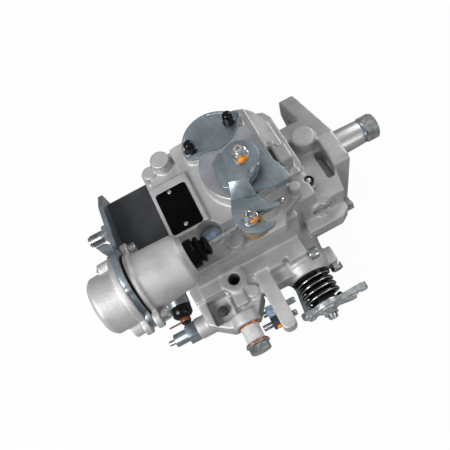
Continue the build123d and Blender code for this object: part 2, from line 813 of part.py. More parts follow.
with BuildPart() as governor_rotor:
    prism(
        across_x,
        gear_rear,
        gear_front,
        [(y, z + governor_height) for y, z in gear_outline(governor_gear_teeth, 0.0)],
    )
    bar(across_x, -79, gear_rear, 8, 0, governor_height)
    bar(across_x, -81, -79, 15, 0, governor_height)
    bar(across_x, -102, -66, 3.5 + running_fit, 0, governor_height, mode=Mode.SUBTRACT)
    for y, z in ((-11, 0), (11, 0)):
        block((-97, -81), (y - 2.6, y + 2.6), (governor_height - 6, governor_height + 6))
    for z in (-11, 11):
        level = governor_height + z
        block((-97, -81), (-6, 6), (level - 2.6, level + 2.6))
governor_rotor.part.label = "governor_rotor"

with BuildPart() as governor_sleeve:
    tube(across_x, -119.4, -101, 5.5, 3.5 + running_fit, 0, governor_height)
    tube(across_x, -104, -101, 8, 3.5 + running_fit, 0, governor_height)
governor_sleeve.part.label = "governor_sleeve"

# Governor lever on its pivot pin
lever_pivot_z = 24.0
with BuildPart() as governor_lever:
    arm_outline = [
        (-7, 14),
        (7, 14),
        (9, 30),
        (9, 56),
        (-25, 56),
        (-25, 47),
        (-9, 44),
        (-9, 30),
    ]
    prism(across_x, -126.5, -123.5, arm_outline)
    bar(across_x, -128, -122, 4.2, 0, governor_height, mode=Mode.SUBTRACT)
    bar(across_y, -9, 9, 4.5, -125, lever_pivot_z)
    bar(across_y, -27.6, 27.6, 2, -125, lever_pivot_z)
    bar(across_z, 9.6, 15, 2.2, -125.0, 0)
governor_lever.part.label = "governor_lever"

governor_coil = coil(4, 30.6, 2.6, 0.8, Location((-122.5, -21, 51), (0, 90, 0)))
with BuildPart() as governor_spring:
    add(governor_coil)
governor_spring.part.label = "governor_spring"

# Roller ring with rollers and timing pin
with BuildPart() as roller_ring:
    tube(across_x, -102, -90, roller_ring_radius, 17.5)
    for turn in range(roller_count):
        with BuildSketch(Plane.YZ.offset(-103)):
            with PolarLocations(24.5, 1, start_angle=45 + 90 * turn):
                Rectangle(9.6, 9)
        extrude(amount=8.0, mode=Mode.SUBTRACT)
    bar(across_z, -47, -20, 3, timing_x, 0)
    bar(across_x, -102, -90, 17.5, mode=Mode.SUBTRACT)
roller_ring.part.label = "roller_ring"

with BuildPart() as cam_rollers:
    for turn in range(roller_count):
        radial = Plane(
            origin=(-100.6, 0, 0),
            x_dir=(1, 0, 0),
            z_dir=(0, cos(radians(45 + 90 * turn)), sin(radians(45 + 90 * turn))),
        )
        bar(radial, 20.2, 28.6, 4.2)
cam_rollers.part.label = "cam_rollers"

# Timing piston, spring and cover
with BuildPart() as timing_piston:
    bar(across_y, -26, 34, timing_radius, timing_x, timing_z)
    bar(across_z, timing_z - 4, timing_z + 1, 3.4, timing_x, 0, mode=Mode.SUBTRACT)
    bar(across_z, timing_z + 1, -20, 5.2, timing_x, 0, mode=Mode.SUBTRACT)
    bar(across_y, -27, -14, 8, timing_x, timing_z, mode=Mode.SUBTRACT)
timing_piston.part.label = "timing_piston"

timing_place = Location((timing_x, timing_spring_start, timing_z), (-90, 0, 0))
timing_coil = coil(4, 52.4 - timing_spring_start, 6.2, 1.3, timing_place)
with BuildPart() as timing_spring:
    add(timing_coil)
timing_spring.part.label = "timing_spring"

with BuildPart() as timing_cover:
    outline = [(-113, -60), (-79, -60), (-79, -30), (-113, -30)]
    prism(across_y, -58, -54, outline)
timing_cover.part.label = "timing_cover"

# Cam plate and distributor plunger
with BuildPart() as cam_plate:
    bar(across_x, -112, cam_face, cam_radius)
    for turn in range(4):
        with BuildSketch(Plane.YZ.offset(cam_face)):
            with PolarLocations(24, 1, start_angle=90 * turn):
                Rectangle(5.5, 12)
        extrude(amount=0.8)
    for y in (-13, 13):
        block((-106, -101), (y - 2.2, y + 2.2), (-4, 4))
cam_plate.part.label = "cam_plate"

with BuildPart() as distributor_plunger:
    bar(across_x, -192, -112, plunger_radius)
    bar(across_x, -115, -112, 10)
    bar(across_x, -193, -180, 1.2, mode=Mode.SUBTRACT)
distributor_plunger.part.label = "distributor_plunger"

plunger_coil = coil(3.5, 36, 5.5, 1.5, Location((-156.2, 0, 0), (0, 90, 0)))
with BuildPart() as plunger_springs:
    block((-118, -115.2), (-27, 27), (-8, 8))
    bar(across_x, -120, -114, 7, mode=Mode.SUBTRACT)
    for y in (-20, 20):
        add(plunger_coil.moved(Location((0, y, 0))))
plunger_springs.part.label = "plunger_springs"

with BuildPart() as control_collar:
    tube(across_x, -131, -121, 12.5, plunger_radius + running_fit)
    bar(across_z, 8.8, 20, 3.0, -125.0, 0, mode=Mode.SUBTRACT)
control_collar.part.label = "control_collar"

# Cold-start shaft, spring, lever and nut
with BuildPart() as cold_shaft:
    bar(across_y, 40, 126, cold_shaft_radius, cold_x, cold_z)
    bar(across_y, 126, 136, 3, cold_x, cold_z)
cold_shaft.part.label = "cold_shaft"

cold_place = Location((cold_x, -100.4, cold_z), (90, 0, 0))
cold_coil = coil(3.4, 16.6, cold_spring_radius, cold_spring_wire, cold_place)
with BuildPart() as cold_spring:
    add(cold_coil)
    tube(across_y, -cold_face_y, 98, 17.5, cold_shaft_radius + free_gap, cold_x, cold_z)
    block((-93.4, -91.6), (-120.8, -96), (-36, -24))
    block((-93.4, -86), (-98, -96), (-36, -24))
cold_spring.part.label = "cold_spring"

# Star lever: a hub with arms as round-ended bars
star_arms = ((-37.5, -25, 9), (-46, -46, 8), (-91, -27, 12), (-88, -40, 9))
with BuildPart() as cold_lever:
    with BuildSketch(Plane.XZ.offset(121)) as star:
        with Locations((cold_x, cold_z)):
            Circle(14)
        for tip_x, tip_z, width in star_arms:
            reach = hypot(tip_x - cold_x, tip_z - cold_z)
            lean = degrees(atan2(tip_z - cold_z, tip_x - cold_x))
            with Locations(((cold_x + tip_x) / 2, (cold_z + tip_z) / 2)):
                SlotCenterToCenter(reach, width, rotation=lean)
    extrude(star.sketch, amount=5)
    bar(across_y, 119.6, 121, 10, cold_x, cold_z)
    bar(across_y, 115, 128, cold_shaft_radius, cold_x, cold_z, mode=Mode.SUBTRACT)
    bar(across_y, 118, 128, 2.6, star_arms[0][0], star_arms[0][1], mode=Mode.SUBTRACT)
cold_lever.part.label = "cold_lever"

with BuildPart() as cold_nut:
    hexagon(across_y, 126, 132, 10, cold_x, cold_z)
    bar(across_y, 125, 133, 3, cold_x, cold_z, mode=Mode.SUBTRACT)
cold_nut.part.label = "cold_nut"

# Stop screws with lock nuts
with BuildPart() as stop_screws:
    bar(across_x, -126.6, -95, 2.9, stop_screw_rows[0], stop_screw_level)
    bar(across_x, -131, -98.5, 2.9, stop_screw_rows[1], stop_screw_level)
    for y in stop_screw_rows:
        hexagon(across_x, -122.5, -116, 10, y, stop_screw_level, turn=30)
stop_screws.part.label = "stop_screws"

# Banjo bolt with sleeve and copper washers
first_washer = -inlet_face_y
sleeve_start = first_washer + washer_thickness
second_washer = sleeve_start + sleeve_length
bolt_head = second_washer + washer_thickness
with BuildPart() as copper_washers:
    for start in (first_washer, second_washer):
        tube(across_y, start, start + washer_thickness, washer_radius, 7.3, inlet_x, inlet_z)
copper_washers.part.label = "copper_washers"

with BuildPart() as transport_sleeve:
    tube(across_y, sleeve_start, second_washer, 8.8, 7.3, inlet_x, inlet_z)
transport_sleeve.part.label = "transport_sleeve"

with BuildPart() as banjo_bolt:
    bar(across_y, 96, bolt_head, banjo_thread_radius, inlet_x, inlet_z)
    bar(across_y, bolt_head, bolt_head + 1.5, 11, inlet_x, inlet_z)
    hexagon(across_y, bolt_head + 1.5, bolt_head + 8, 17, inlet_x, inlet_z)
    bar(across_y, 90, 124, 3, inlet_x, inlet_z, mode=Mode.SUBTRACT)
banjo_bolt.part.label = "banjo_bolt"

# Leak-off nipple
with BuildPart() as return_nipple:
    hexagon(across_x, -194, -184, 17, -90, -20)
    bar(across_x, -207, -194, 6, -90, -20)
    bar(across_x, -213, -207, 2.4, -90, -20)
return_nipple.part.label = "return_nipple"

# Shut-off solenoid, screwed into the side of the head
with BuildPart() as shutoff_solenoid:
    bar(across_y, solenoid_seat - 6, solenoid_seat, 9.9, solenoid_x, solenoid_z)
    hexagon(across_y, solenoid_seat, solenoid_seat + 8, 22, solenoid_x, solenoid_z)
    bar(across_y, solenoid_seat + 8, solenoid_end, 10, solenoid_x, solenoid_z)
    bore = (solenoid_seat - 7, solenoid_end - 6)
    bar(across_y, *bore, 5, solenoid_x, solenoid_z, mode=Mode.SUBTRACT)
shutoff_solenoid.part.label = "shutoff_solenoid"

with BuildPart() as solenoid_armature:
    armature = (solenoid_seat - 5, solenoid_end - 12)
    bar(across_y, *armature, 5 - slip_fit, solenoid_x, solenoid_z)
solenoid_armature.part.label = "solenoid_armature"

with BuildPart() as solenoid_cap:
    bar(across_y, solenoid_end, solenoid_end + 10, 9, solenoid_x, solenoid_z)
    bar(across_y, solenoid_end + 10, solenoid_end + 16, 4.5, solenoid_x, solenoid_z)
    bar(across_x, -206, solenoid_x, 0.9, -(solenoid_end + 13), solenoid_z)
solenoid_cap.part.label = "solenoid_cap"

# Plugs and small bolts on the casting
with BuildPart() as screw_plugs:
    bar(across_y, 48, 55, 8.9, slotted_plug_x, slotted_plug_z)
    slot_z = (slotted_plug_z - 1, slotted_plug_z + 1)
    block((-46, -26), (-56, -54), slot_z, mode=Mode.SUBTRACT)
    bar(across_z, 32, 35.5, 3.5, *ball_plug_at)
screw_plugs.part.label = "screw_plugs"

with BuildPart() as side_bolts:
    for dx in (-12.6, 12.6):
        hexagon(across_y, -62, -58, 8, timing_x + dx, timing_z + 3)
    bar(across_x, -66, -58, 5.2, -83, -2.8)
    hexagon(across_x, -13, -6.5, 11, -54, -12)
    hexagon(across_y, 92, 98, 10, -46, -34)
    bar(across_z, -16, -11, 4.5, -156, -88)
side_bolts.part.label = "side_bolts"

sub_parts = [
    pump_housing,
    cover_gasket,
    governor_cover,
    cover_screws,
    pan_cover,
    cap_screws,
    label_plate,
    hydraulic_head,
    plunger_barrel,
    head_plug,
    delivery_valve_holders,
    head_screws,
    actuator_bracket,
    actuator_cup,
    actuator_body,
    actuator_screws,
    actuator_diaphragm,
    rod_boot,
    actuator_rod,
    swivel_block,
    throttle_shaft,
    throttle_lever,
    lever_nuts,
    stop_plate,
    drive_shaft,
    shaft_key,
    spring_washer,
    shaft_nut,
    shaft_seal,
    pump_ring,
    pump_rotor,
    drive_gear,
    governor_shaft,
    governor_rotor,
    governor_sleeve,
    governor_lever,
    governor_spring,
    roller_ring,
    cam_rollers,
    timing_piston,
    timing_spring,
    timing_cover,
    cam_plate,
    distributor_plunger,
    plunger_springs,
    control_collar,
    cold_shaft,
    cold_spring,
    cold_lever,
    cold_nut,
    stop_screws,
    copper_washers,
    transport_sleeve,
    banjo_bolt,
    return_nipple,
    shutoff_solenoid,
    solenoid_armature,
    solenoid_cap,
    screw_plugs,
    side_bolts,
]
os.makedirs("parts", exist_ok=True)
for sub_part in sub_parts:
    export_step(sub_part.part, f"parts/{sub_part.part.label}.step")
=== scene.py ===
import json
import logging
from dataclasses import dataclass
from enum import Enum
from math import cos, pi, radians, sin, sqrt

import bpy
from mathutils import Matrix, Vector


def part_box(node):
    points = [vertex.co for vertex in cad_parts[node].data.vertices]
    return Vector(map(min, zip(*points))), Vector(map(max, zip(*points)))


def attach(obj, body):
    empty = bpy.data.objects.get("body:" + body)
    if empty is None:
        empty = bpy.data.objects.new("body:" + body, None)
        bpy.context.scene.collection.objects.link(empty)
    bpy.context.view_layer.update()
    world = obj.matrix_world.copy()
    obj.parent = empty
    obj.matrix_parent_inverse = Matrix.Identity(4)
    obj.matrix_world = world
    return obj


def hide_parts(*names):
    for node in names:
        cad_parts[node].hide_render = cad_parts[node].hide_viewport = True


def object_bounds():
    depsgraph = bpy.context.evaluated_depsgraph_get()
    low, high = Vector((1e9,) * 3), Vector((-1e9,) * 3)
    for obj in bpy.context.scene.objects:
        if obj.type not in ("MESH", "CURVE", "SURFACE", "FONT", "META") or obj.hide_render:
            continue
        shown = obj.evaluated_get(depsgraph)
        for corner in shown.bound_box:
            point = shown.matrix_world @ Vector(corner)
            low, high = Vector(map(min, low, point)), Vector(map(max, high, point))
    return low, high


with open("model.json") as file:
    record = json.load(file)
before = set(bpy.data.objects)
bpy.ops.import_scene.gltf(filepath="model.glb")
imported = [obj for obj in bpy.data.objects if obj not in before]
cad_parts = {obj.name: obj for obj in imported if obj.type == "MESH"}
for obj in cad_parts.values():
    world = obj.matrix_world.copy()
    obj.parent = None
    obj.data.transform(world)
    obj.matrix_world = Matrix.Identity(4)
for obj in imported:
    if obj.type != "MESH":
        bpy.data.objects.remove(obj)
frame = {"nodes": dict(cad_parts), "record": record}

# One millimetre, in the scene's metres
MM = 0.001
# A casting's skin is thinned to this many triangles
MOST_TRIANGLES = 190000
# Vertices closer than this become one, in metres
SAME_SPOT = 2e-6
# How far a drill or cutter reaches past the face that it opens
OVERCUT = 1.0
# Steps of a wound wire in each of its coils
COIL_STEPS = 36
# Most of a noise pattern's values lie between these two
NOISE_LOW = 0.3
NOISE_HIGH = 0.7
# Noise value up to which a finish has its shade, and from which it has its full colour
SHADE_END = 0.34
COLOUR_START = 0.62
# How far the grain of a brushed finish is drawn out along X
BRUSH_STRETCH = 0.12
Point = tuple[float, float, float]
Box = tuple[Point, Point]
Outline = tuple[tuple[float, float], ...]
Stations = tuple[tuple[float, float], ...]
WHITE = (1.0, 1.0, 1.0, 1.0)
log = logging.getLogger("injection_pump")
cad_low, cad_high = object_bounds()


class Axis(Enum):
    """Directions along which a round piece is turned."""

    X = (1.0, 0.0, 0.0)
    MINUS_X = (-1.0, 0.0, 0.0)
    MINUS_Y = (0.0, -1.0, 0.0)
    Z = (0.0, 0.0, 1.0)


class Grain(Enum):
    """How a finish breaks up at close range."""

    SAND_CAST = "sand cast"
    BRUSHED = "brushed"
    SMOOTH = "smooth"


def linear(code: str) -> tuple[float, float, float, float]:
    """Turns an sRGB hex colour into linear RGBA.

    Args:
        code: The colour as six hex digits.

    Returns:
        Linear red, green, blue and an alpha of 1.
    """
    channels = []
    for start in (0, 2, 4):
        value = int(code[start : start + 2], 16) / 255
        channels.append(value / 12.92 if value <= 0.04045 else ((value + 0.055) / 1.055) ** 2.4)
    return (*channels, 1.0)


def add_node(
    tree: bpy.types.NodeTree,
    kind: str,
    settings: dict[str, object] | None = None,
    sockets: dict[str, object] | None = None,
    links: dict[str, bpy.types.NodeSocket] | None = None,
) -> bpy.types.Node:
    """Adds a shader node with its settings, socket values and incoming links.

    Args:
        tree: The node tree that gets the node.
        kind: The node's type name.
        settings: Attributes of the node itself.
        sockets: Values of input sockets by name or number.
        links: Output sockets to join to input sockets by name or number.

    Returns:
        The new node.
    """
    made = tree.nodes.new(kind)
    for name, value in (settings or {}).items():
        setattr(made, name, value)
    for name, value in (sockets or {}).items():
        made.inputs[name].default_value = value
    for name, socket in (links or {}).items():
        tree.links.new(socket, made.inputs[name])
    return made


@dataclass(frozen=True)
class Finish:
    """One real material and how its surface was made.

    Args:
        name: What the material is called in the workshop.
        colour: Main colour as sRGB hex.
        shade: Colour of its darker patches as sRGB hex.
        slot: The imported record's slot for it.
        metallic: Shader metallic.
        roughness: Mean roughness.
        swing: How far the roughness wanders from patch to patch.
        patch_mm: Size of the patches of shade.
        grain: The kind of close texture.
        grain_mm: Size of the close texture.
        depth_mm: Height of the close texture.
        specular: Strength of the reflection of a surface that isn't metal.
        transmission: Weight of light passing through.
    """

    name: str
    colour: str
    shade: str
    slot: str
    metallic: float = 0.0
    roughness: float = 0.5
    swing: float = 0.08
    patch_mm: float = 14.0
    grain: Grain = Grain.SMOOTH
    grain_mm: float = 0.8
    depth_mm: float = 0.02
    specular: float = 0.5
    transmission: float = 0.0

    def material(self) -> bpy.types.Material:
        """Builds the material once and hands back the same one after that."""
        found = bpy.data.materials.get(self.name)
        if found is not None:
            return found
        made = bpy.data.materials.new(self.name)
        made.use_nodes = True
        tree = made.node_tree
        shader = tree.nodes["Principled BSDF"]
        place = add_node(tree, "ShaderNodeTexCoord")
        patches = add_node(
            tree,
            "ShaderNodeTexNoise",
            sockets={"Scale": 1 / (self.patch_mm * MM), "Detail": 5.0, "Roughness": 0.6},
            links={"Vector": place.outputs["Object"]},
        )
        ramp = add_node(tree, "ShaderNodeValToRGB", links={"Fac": patches.outputs["Fac"]})
        ramp.color_ramp.elements[0].position = SHADE_END
        ramp.color_ramp.elements[0].color = linear(self.shade)
        ramp.color_ramp.elements[1].position = COLOUR_START
        ramp.color_ramp.elements[1].color = linear(self.colour)
        tree.links.new(ramp.outputs["Color"], shader.inputs["Base Color"])
        spread = add_node(
            tree,
            "ShaderNodeMapRange",
            sockets={
                "From Min": NOISE_LOW,
                "From Max": NOISE_HIGH,
                "To Min": max(self.roughness - self.swing, 0.02),
                "To Max": self.roughness + self.swing,
            },
            links={"Value": patches.outputs["Fac"]},
        )
        tree.links.new(spread.outputs["Result"], shader.inputs["Roughness"])
        shader.inputs["Metallic"].default_value = self.metallic
        shader.inputs["Specular IOR Level"].default_value = self.specular
        shader.inputs["Transmission Weight"].default_value = self.transmission
        self._grain(tree, place, shader)
        return made

    def _grain(
        self, tree: bpy.types.NodeTree, place: bpy.types.Node, shader: bpy.types.Node
    ) -> None:
        """Adds the close texture as a bump.

        Args:
            tree: The material's node tree.
            place: Its texture coordinates.
            shader: Its shader node.
        """
        stretch = (1.0, 1.0, 1.0)
        if self.grain is Grain.BRUSHED:
            stretch = (BRUSH_STRETCH, 1.0, 1.0)
        mapping = add_node(
            tree,
            "ShaderNodeMapping",
            sockets={"Scale": stretch},
            links={"Vector": place.outputs["Object"]},
        )
        detail = 6.0 if self.grain is Grain.SAND_CAST else 2.0
        noise = add_node(
            tree,
            "ShaderNodeTexNoise",
            sockets={"Scale": 1 / (self.grain_mm * MM), "Detail": detail, "Roughness": 0.65},
            links={"Vector": mapping.outputs["Vector"]},
        )
        bump = add_node(
            tree,
            "ShaderNodeBump",
            sockets={"Strength": 1.0, "Distance": self.depth_mm * MM},
            links={"Height": noise.outputs["Fac"]},
        )
        tree.links.new(bump.outputs["Normal"], shader.inputs["Normal"])


# Die-cast aluminium, tumbled: pale warm grey, almost matte, with a fine orange-peel grain
CAST = Finish(
    "die_cast_aluminium", "c0c0c0", "b0b0b0", "cast_aluminium", metallic=0.5, roughness=0.52,
    patch_mm=18.0, grain=Grain.SAND_CAST, grain_mm=1.2, depth_mm=0.16,
)
# Turned die-cast boss: the same metal cut bare, a little brighter; its cooler, bluish colour is a
# painted reflection of the room
CUT_CAST_PAINTED_SHEEN = Finish(
    "turned_aluminium_painted_sheen", "aeb1b6", "a0a3a9", "cast_aluminium", metallic=0.75, roughness=0.42,
    grain_mm=0.5, depth_mm=0.02,
)
# Blackened steel: dark blue-grey, satin, with faint grinding marks
BLACK_STEEL = Finish(
    "blackened_steel", "484a50", "3a3c41", "black_steel", metallic=0.5, roughness=0.5,
    patch_mm=30.0, grain=Grain.BRUSHED, grain_mm=0.9, depth_mm=0.02,
)
# Blue zinc plate on pressed steel: cool grey, cloudy, with soft reflections
ZINC_PLATE = Finish(
    "blue_zinc_plate", "9ba6ad", "8a969e", "zinc_steel", metallic=0.85, roughness=0.34,
    swing=0.06, patch_mm=9.0, grain_mm=0.7, depth_mm=0.02,
)
# Bright zinc on machined fasteners: near white highlights, fine turning marks
BRIGHT_ZINC = Finish(
    "bright_zinc", "cfd3d4", "9aa0a3", "zinc_steel", metallic=0.95, roughness=0.2,
    swing=0.08, patch_mm=4.0, grain_mm=0.5, depth_mm=0.015,
)
# Deep blue zinc, as on the recessed screw and one lock nut
BLUE_ZINC = Finish(
    "deep_blue_zinc", "b4cbe2", "8fa9c4", "zinc_steel", metallic=0.6, roughness=0.3,
    patch_mm=5.0, grain_mm=0.5, depth_mm=0.01,
)
# Yellow passivated zinc of the swivel block
YELLOW_ZINC = Finish(
    "yellow_zinc", "bfa77c", "96805a", "zinc_steel", metallic=0.7, roughness=0.35,
    patch_mm=4.0, grain_mm=0.6, depth_mm=0.015,
)
# Machined bare steel: bright, with turning marks
MACHINED = Finish(
    "machined_steel", "c7c7c5", "9b9b9a", "machined_steel", metallic=1.0, roughness=0.22,
    patch_mm=6.0, grain=Grain.BRUSHED, grain_mm=0.5, depth_mm=0.01,
)
# Black enamelled spring wire: deep black with sharp highlights
BLACK_SPRING = Finish(
    "black_enamelled_wire", "0c0d0f", "070708", "spring_steel", roughness=0.2, swing=0.04,
    grain_mm=1.0, depth_mm=0.01, specular=0.3,
)
# Oiled spring steel of the inner springs
SPRING_STEEL = Finish(
    "oiled_spring_steel", "56575c", "3c3d42", "spring_steel", metallic=0.9, roughness=0.35,
)
# Zinc die casting of the star lever: pale silver, slightly crisp skin
ZINC_CAST = Finish(
    "zinc_die_casting", "c3c7ca", "a0a5a9", "zinc_casting", metallic=0.7, roughness=0.32,
    patch_mm=6.0, grain_mm=0.9, depth_mm=0.03,
)
# Black anodised label blank: flat black with a slight sheen
BLACK_LABEL = Finish(
    "black_anodised_blank", "0b0c0d", "070708", "black_label", roughness=0.42,
    grain_mm=0.4, depth_mm=0.005, specular=0.02,
)
# Moulded black nylon of the caps and terminal: soft gloss
BLACK_NYLON = Finish(
    "moulded_black_nylon", "0d0d0e", "080809", "black_plastic", roughness=0.2, swing=0.05,
    grain_mm=0.6, depth_mm=0.01, specular=0.3,
)
# Black rubber of the boot: dull with soft highlights on its folds
BLACK_RUBBER = Finish(
    "moulded_black_rubber", "0c0d0d", "070708", "black_rubber", roughness=0.36,
    grain_mm=0.7, depth_mm=0.02, specular=0.07,
)
# Dark grey painted as shade on the cut thread deep in the casting, where no light reaches; also the
# dark joint round the slotted plug
THREAD_SHADE_AND_JOINT = Finish(
    "thread_shade_and_dark_joint", "3a3a3b", "242425", "cast_aluminium", metallic=0.4, roughness=0.6,
    patch_mm=4.0, grain_mm=0.6, depth_mm=0.02,
)
# Annealed copper sealing washers: salmon orange
COPPER = Finish(
    "annealed_copper", "dd9364", "b96b40", "copper", metallic=0.95, roughness=0.28,
    patch_mm=4.0, grain_mm=0.5, depth_mm=0.01,
)
# Natural polyethylene transport sleeve: milky, light passes a little
MILKY_SLEEVE = Finish(
    "natural_polyethylene", "e2e4e2", "cdd0cf", "white_plastic", roughness=0.3, patch_mm=5.0,
    transmission=0.25,
)
# Sealing paint dabbed on set nuts: flat orange
SEAL_PAINT = Finish("orange_sealing_paint", "f59a17", "e0830a", "zinc_steel", roughness=0.5)
# Red-brown lacquered terminal wire and resin
RED_WIRE = Finish("lacquered_red_wire", "7a4226", "4a2a18", "black_plastic", roughness=0.35)

SLOT_FINISH = {
    "cast_aluminium": CAST,
    "black_steel": BLACK_STEEL,
    "zinc_steel": ZINC_PLATE,
    "machined_steel": MACHINED,
    "spring_steel": SPRING_STEEL,
    "zinc_casting": ZINC_CAST,
    "black_label": BLACK_LABEL,
    "black_plastic": BLACK_NYLON,
    "black_rubber": BLACK_RUBBER,
    "copper": COPPER,
    "white_plastic": MILKY_SLEEVE,
}


def deselect() -> None:
    """Leaves object mode with nothing selected."""
    bpy.ops.object.select_all(action="DESELECT")


def metres(point: Point) -> Point:
    """Turns a point in millimetres into metres."""
    return tuple(value * MM for value in point)


def activate(piece: bpy.types.Object) -> None:
    """Makes a piece the only selected and active object.

    Args:
        piece: The piece.
    """
    deselect()
    piece.select_set(True)
    bpy.context.view_layer.objects.active = piece


def apply_modifier(piece: bpy.types.Object, kind: str, **settings: object) -> None:
    """Adds a modifier with its settings and applies it.

    Args:
        piece: The object that it changes.
        kind: The modifier's type name.
        settings: Attributes of the modifier.
    """
    activate(piece)
    modifier = piece.modifiers.new(kind.lower(), kind)
    for name, value in settings.items():
        setattr(modifier, name, value)
    bpy.ops.object.modifier_apply(modifier=modifier.name)


def tidy_normals(piece: bpy.types.Object) -> None:
    """Merges doubles and turns all faces outwards.

    Args:
        piece: A closed piece.
    """
    activate(piece)
    bpy.ops.object.mode_set(mode="EDIT")
    bpy.ops.mesh.select_all(action="SELECT")
    bpy.ops.mesh.remove_doubles(threshold=SAME_SPOT)
    bpy.ops.mesh.normals_make_consistent(inside=False)
    bpy.ops.object.mode_set(mode="OBJECT")


def clear_selection(piece: bpy.types.Object) -> None:
    """Leaves nothing of a piece's mesh selected.

    Args:
        piece: The piece, which ends up active in object mode.
    """
    activate(piece)
    bpy.ops.object.mode_set(mode="EDIT")
    bpy.ops.mesh.select_all(action="DESELECT")
    bpy.ops.object.mode_set(mode="OBJECT")


def smooth_all(piece: bpy.types.Object) -> None:
    """Shades a piece smooth all over."""
    activate(piece)
    bpy.ops.object.shade_smooth()


def smooth_by_angle(piece: bpy.types.Object, degrees: float = 35.0) -> None:
    """Shades a piece smooth except over sharp edges."""
    activate(piece)
    bpy.ops.object.shade_smooth_by_angle(angle=radians(degrees))


def copy_of_node(node: str, name: str) -> bpy.types.Object:
    """Copies a CAD node's mesh into a new piece of closed shells.

    Args:
        node: The CAD node.
        name: The new piece's name.

    Returns:
        The new piece, which stands where the node is.
    """
    piece = bpy.data.objects.new(name, frame["nodes"][node].data.copy())
    bpy.context.scene.collection.objects.link(piece)
    piece.data.materials.clear()
    activate(piece)
    bpy.ops.object.mode_set(mode="EDIT")
    bpy.ops.mesh.select_all(action="SELECT")
    bpy.ops.mesh.remove_doubles(threshold=SAME_SPOT)
    bpy.ops.object.mode_set(mode="OBJECT")
    return piece


def merge_flats(piece: bpy.types.Object) -> None:
    """Merges the triangles of a CAD node's copy into whole flat faces.

    Args:
        piece: The copy.
    """
    activate(piece)
    bpy.ops.object.mode_set(mode="EDIT")
    bpy.ops.mesh.select_all(action="SELECT")
    bpy.ops.mesh.dissolve_limited(angle_limit=radians(1.0))
    bpy.ops.object.mode_set(mode="OBJECT")


def cut(piece: bpy.types.Object, tool: bpy.types.Object) -> None:
    """Cuts a closed tool out of a closed piece and removes the tool."""
    apply_modifier(piece, "BOOLEAN", operation="DIFFERENCE", solver="EXACT", object=tool)
    bpy.data.objects.remove(tool)


def trim(piece: bpy.types.Object, form: bpy.types.Object) -> None:
    """Keeps what of a closed piece lies inside a closed form and removes the form."""
    apply_modifier(piece, "BOOLEAN", operation="INTERSECT", solver="EXACT", object=form)
    bpy.data.objects.remove(form)


def dress(piece: bpy.types.Object, finish: Finish, body: str, *nodes: str) -> bpy.types.Object:
    """Gives a piece its finish, its body and the CAD nodes that it stands for.

    Args:
        piece: The finished piece.
        finish: Its finish.
        body: The CAD body that it rides on.
        nodes: CAD nodes that it replaces.

    Returns:
        The same piece.
    """
    piece.data.materials.clear()
    piece.data.materials.append(finish.material())
    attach(piece, body)
    if nodes:
        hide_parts(*nodes)
    log.info("%s: %d faces on %s", piece.name, len(piece.data.polygons), body)
    return piece


def joined(name: str, pieces: list[bpy.types.Object]) -> bpy.types.Object:
    """Joins pieces of one finish into one object.

    Args:
        name: The joined piece's name.
        pieces: What is joined; the first one stays.

    Returns:
        The joined piece.
    """
    deselect()
    for piece in pieces:
        piece.select_set(True)
    bpy.context.view_layer.objects.active = pieces[0]
    if len(pieces) > 1:
        bpy.ops.object.join()
    pieces[0].name = name
    return pieces[0]


def soft_casting(
    node: str,
    name: str,
    voxel_mm: float,
    steps: int,
    extras: list[bpy.types.Object] | None = None,
    tools: list[bpy.types.Object] | None = None,
) -> bpy.types.Object:
    """Makes a casting of a CAD node, with its edges rounded as a die leaves them.

    Args:
        node: The CAD node that it starts from.
        name: The new piece's name.
        voxel_mm: Size of the skin's cells.
        steps: Smoothing steps, which set how round the edges get.
        extras: Closed pieces that are cast in one with it.
        tools: Closed pieces that are cut out of it first.

    Returns:
        The casting.
    """
    piece = copy_of_node(node, name)
    for tool in tools or []:
        cut(piece, tool)
    piece = joined(name, [piece, *(extras or [])])
    apply_modifier(piece, "REMESH", mode="VOXEL", voxel_size=voxel_mm * MM, use_smooth_shade=True)
    apply_modifier(piece, "SMOOTH", factor=0.5, iterations=steps)
    share = MOST_TRIANGLES / (2 * len(piece.data.polygons))
    if share < 1:
        apply_modifier(piece, "DECIMATE", ratio=share)
    smooth_all(piece)
    return piece


def eased(node: str, name: str, edge_mm: float, segments: int = 2) -> bpy.types.Object:
    """Makes a machined or pressed piece of a CAD node, with its sharp edges eased.

    Args:
        node: The CAD node that it starts from.
        name: The new piece's name.
        edge_mm: Width of the eased edge.
        segments: Faces across the eased edge.

    Returns:
        The piece.
    """
    piece = copy_of_node(node, name)
    merge_flats(piece)
    apply_modifier(
        piece, "BEVEL", width=edge_mm * MM, segments=segments, limit_method="ANGLE",
        angle_limit=radians(32), use_clamp_overlap=True, harden_normals=False,
    )
    smooth_by_angle(piece)
    return piece


def placed(piece: bpy.types.Object, origin: Point, axis: Axis | Vector) -> bpy.types.Object:
    """Moves a piece made along +Z to its place, inside its mesh.

    Args:
        piece: A piece modelled from the origin along +Z.
        origin: Where its own origin goes, in millimetres.
        axis: The direction its +Z turns to.

    Returns:
        The same piece.
    """
    direction = Vector(axis.value) if isinstance(axis, Axis) else axis
    turn = Vector((0, 0, 1)).rotation_difference(direction).to_matrix().to_4x4()
    piece.data.transform(Matrix.Translation(Vector(origin) * MM) @ turn)
    return piece


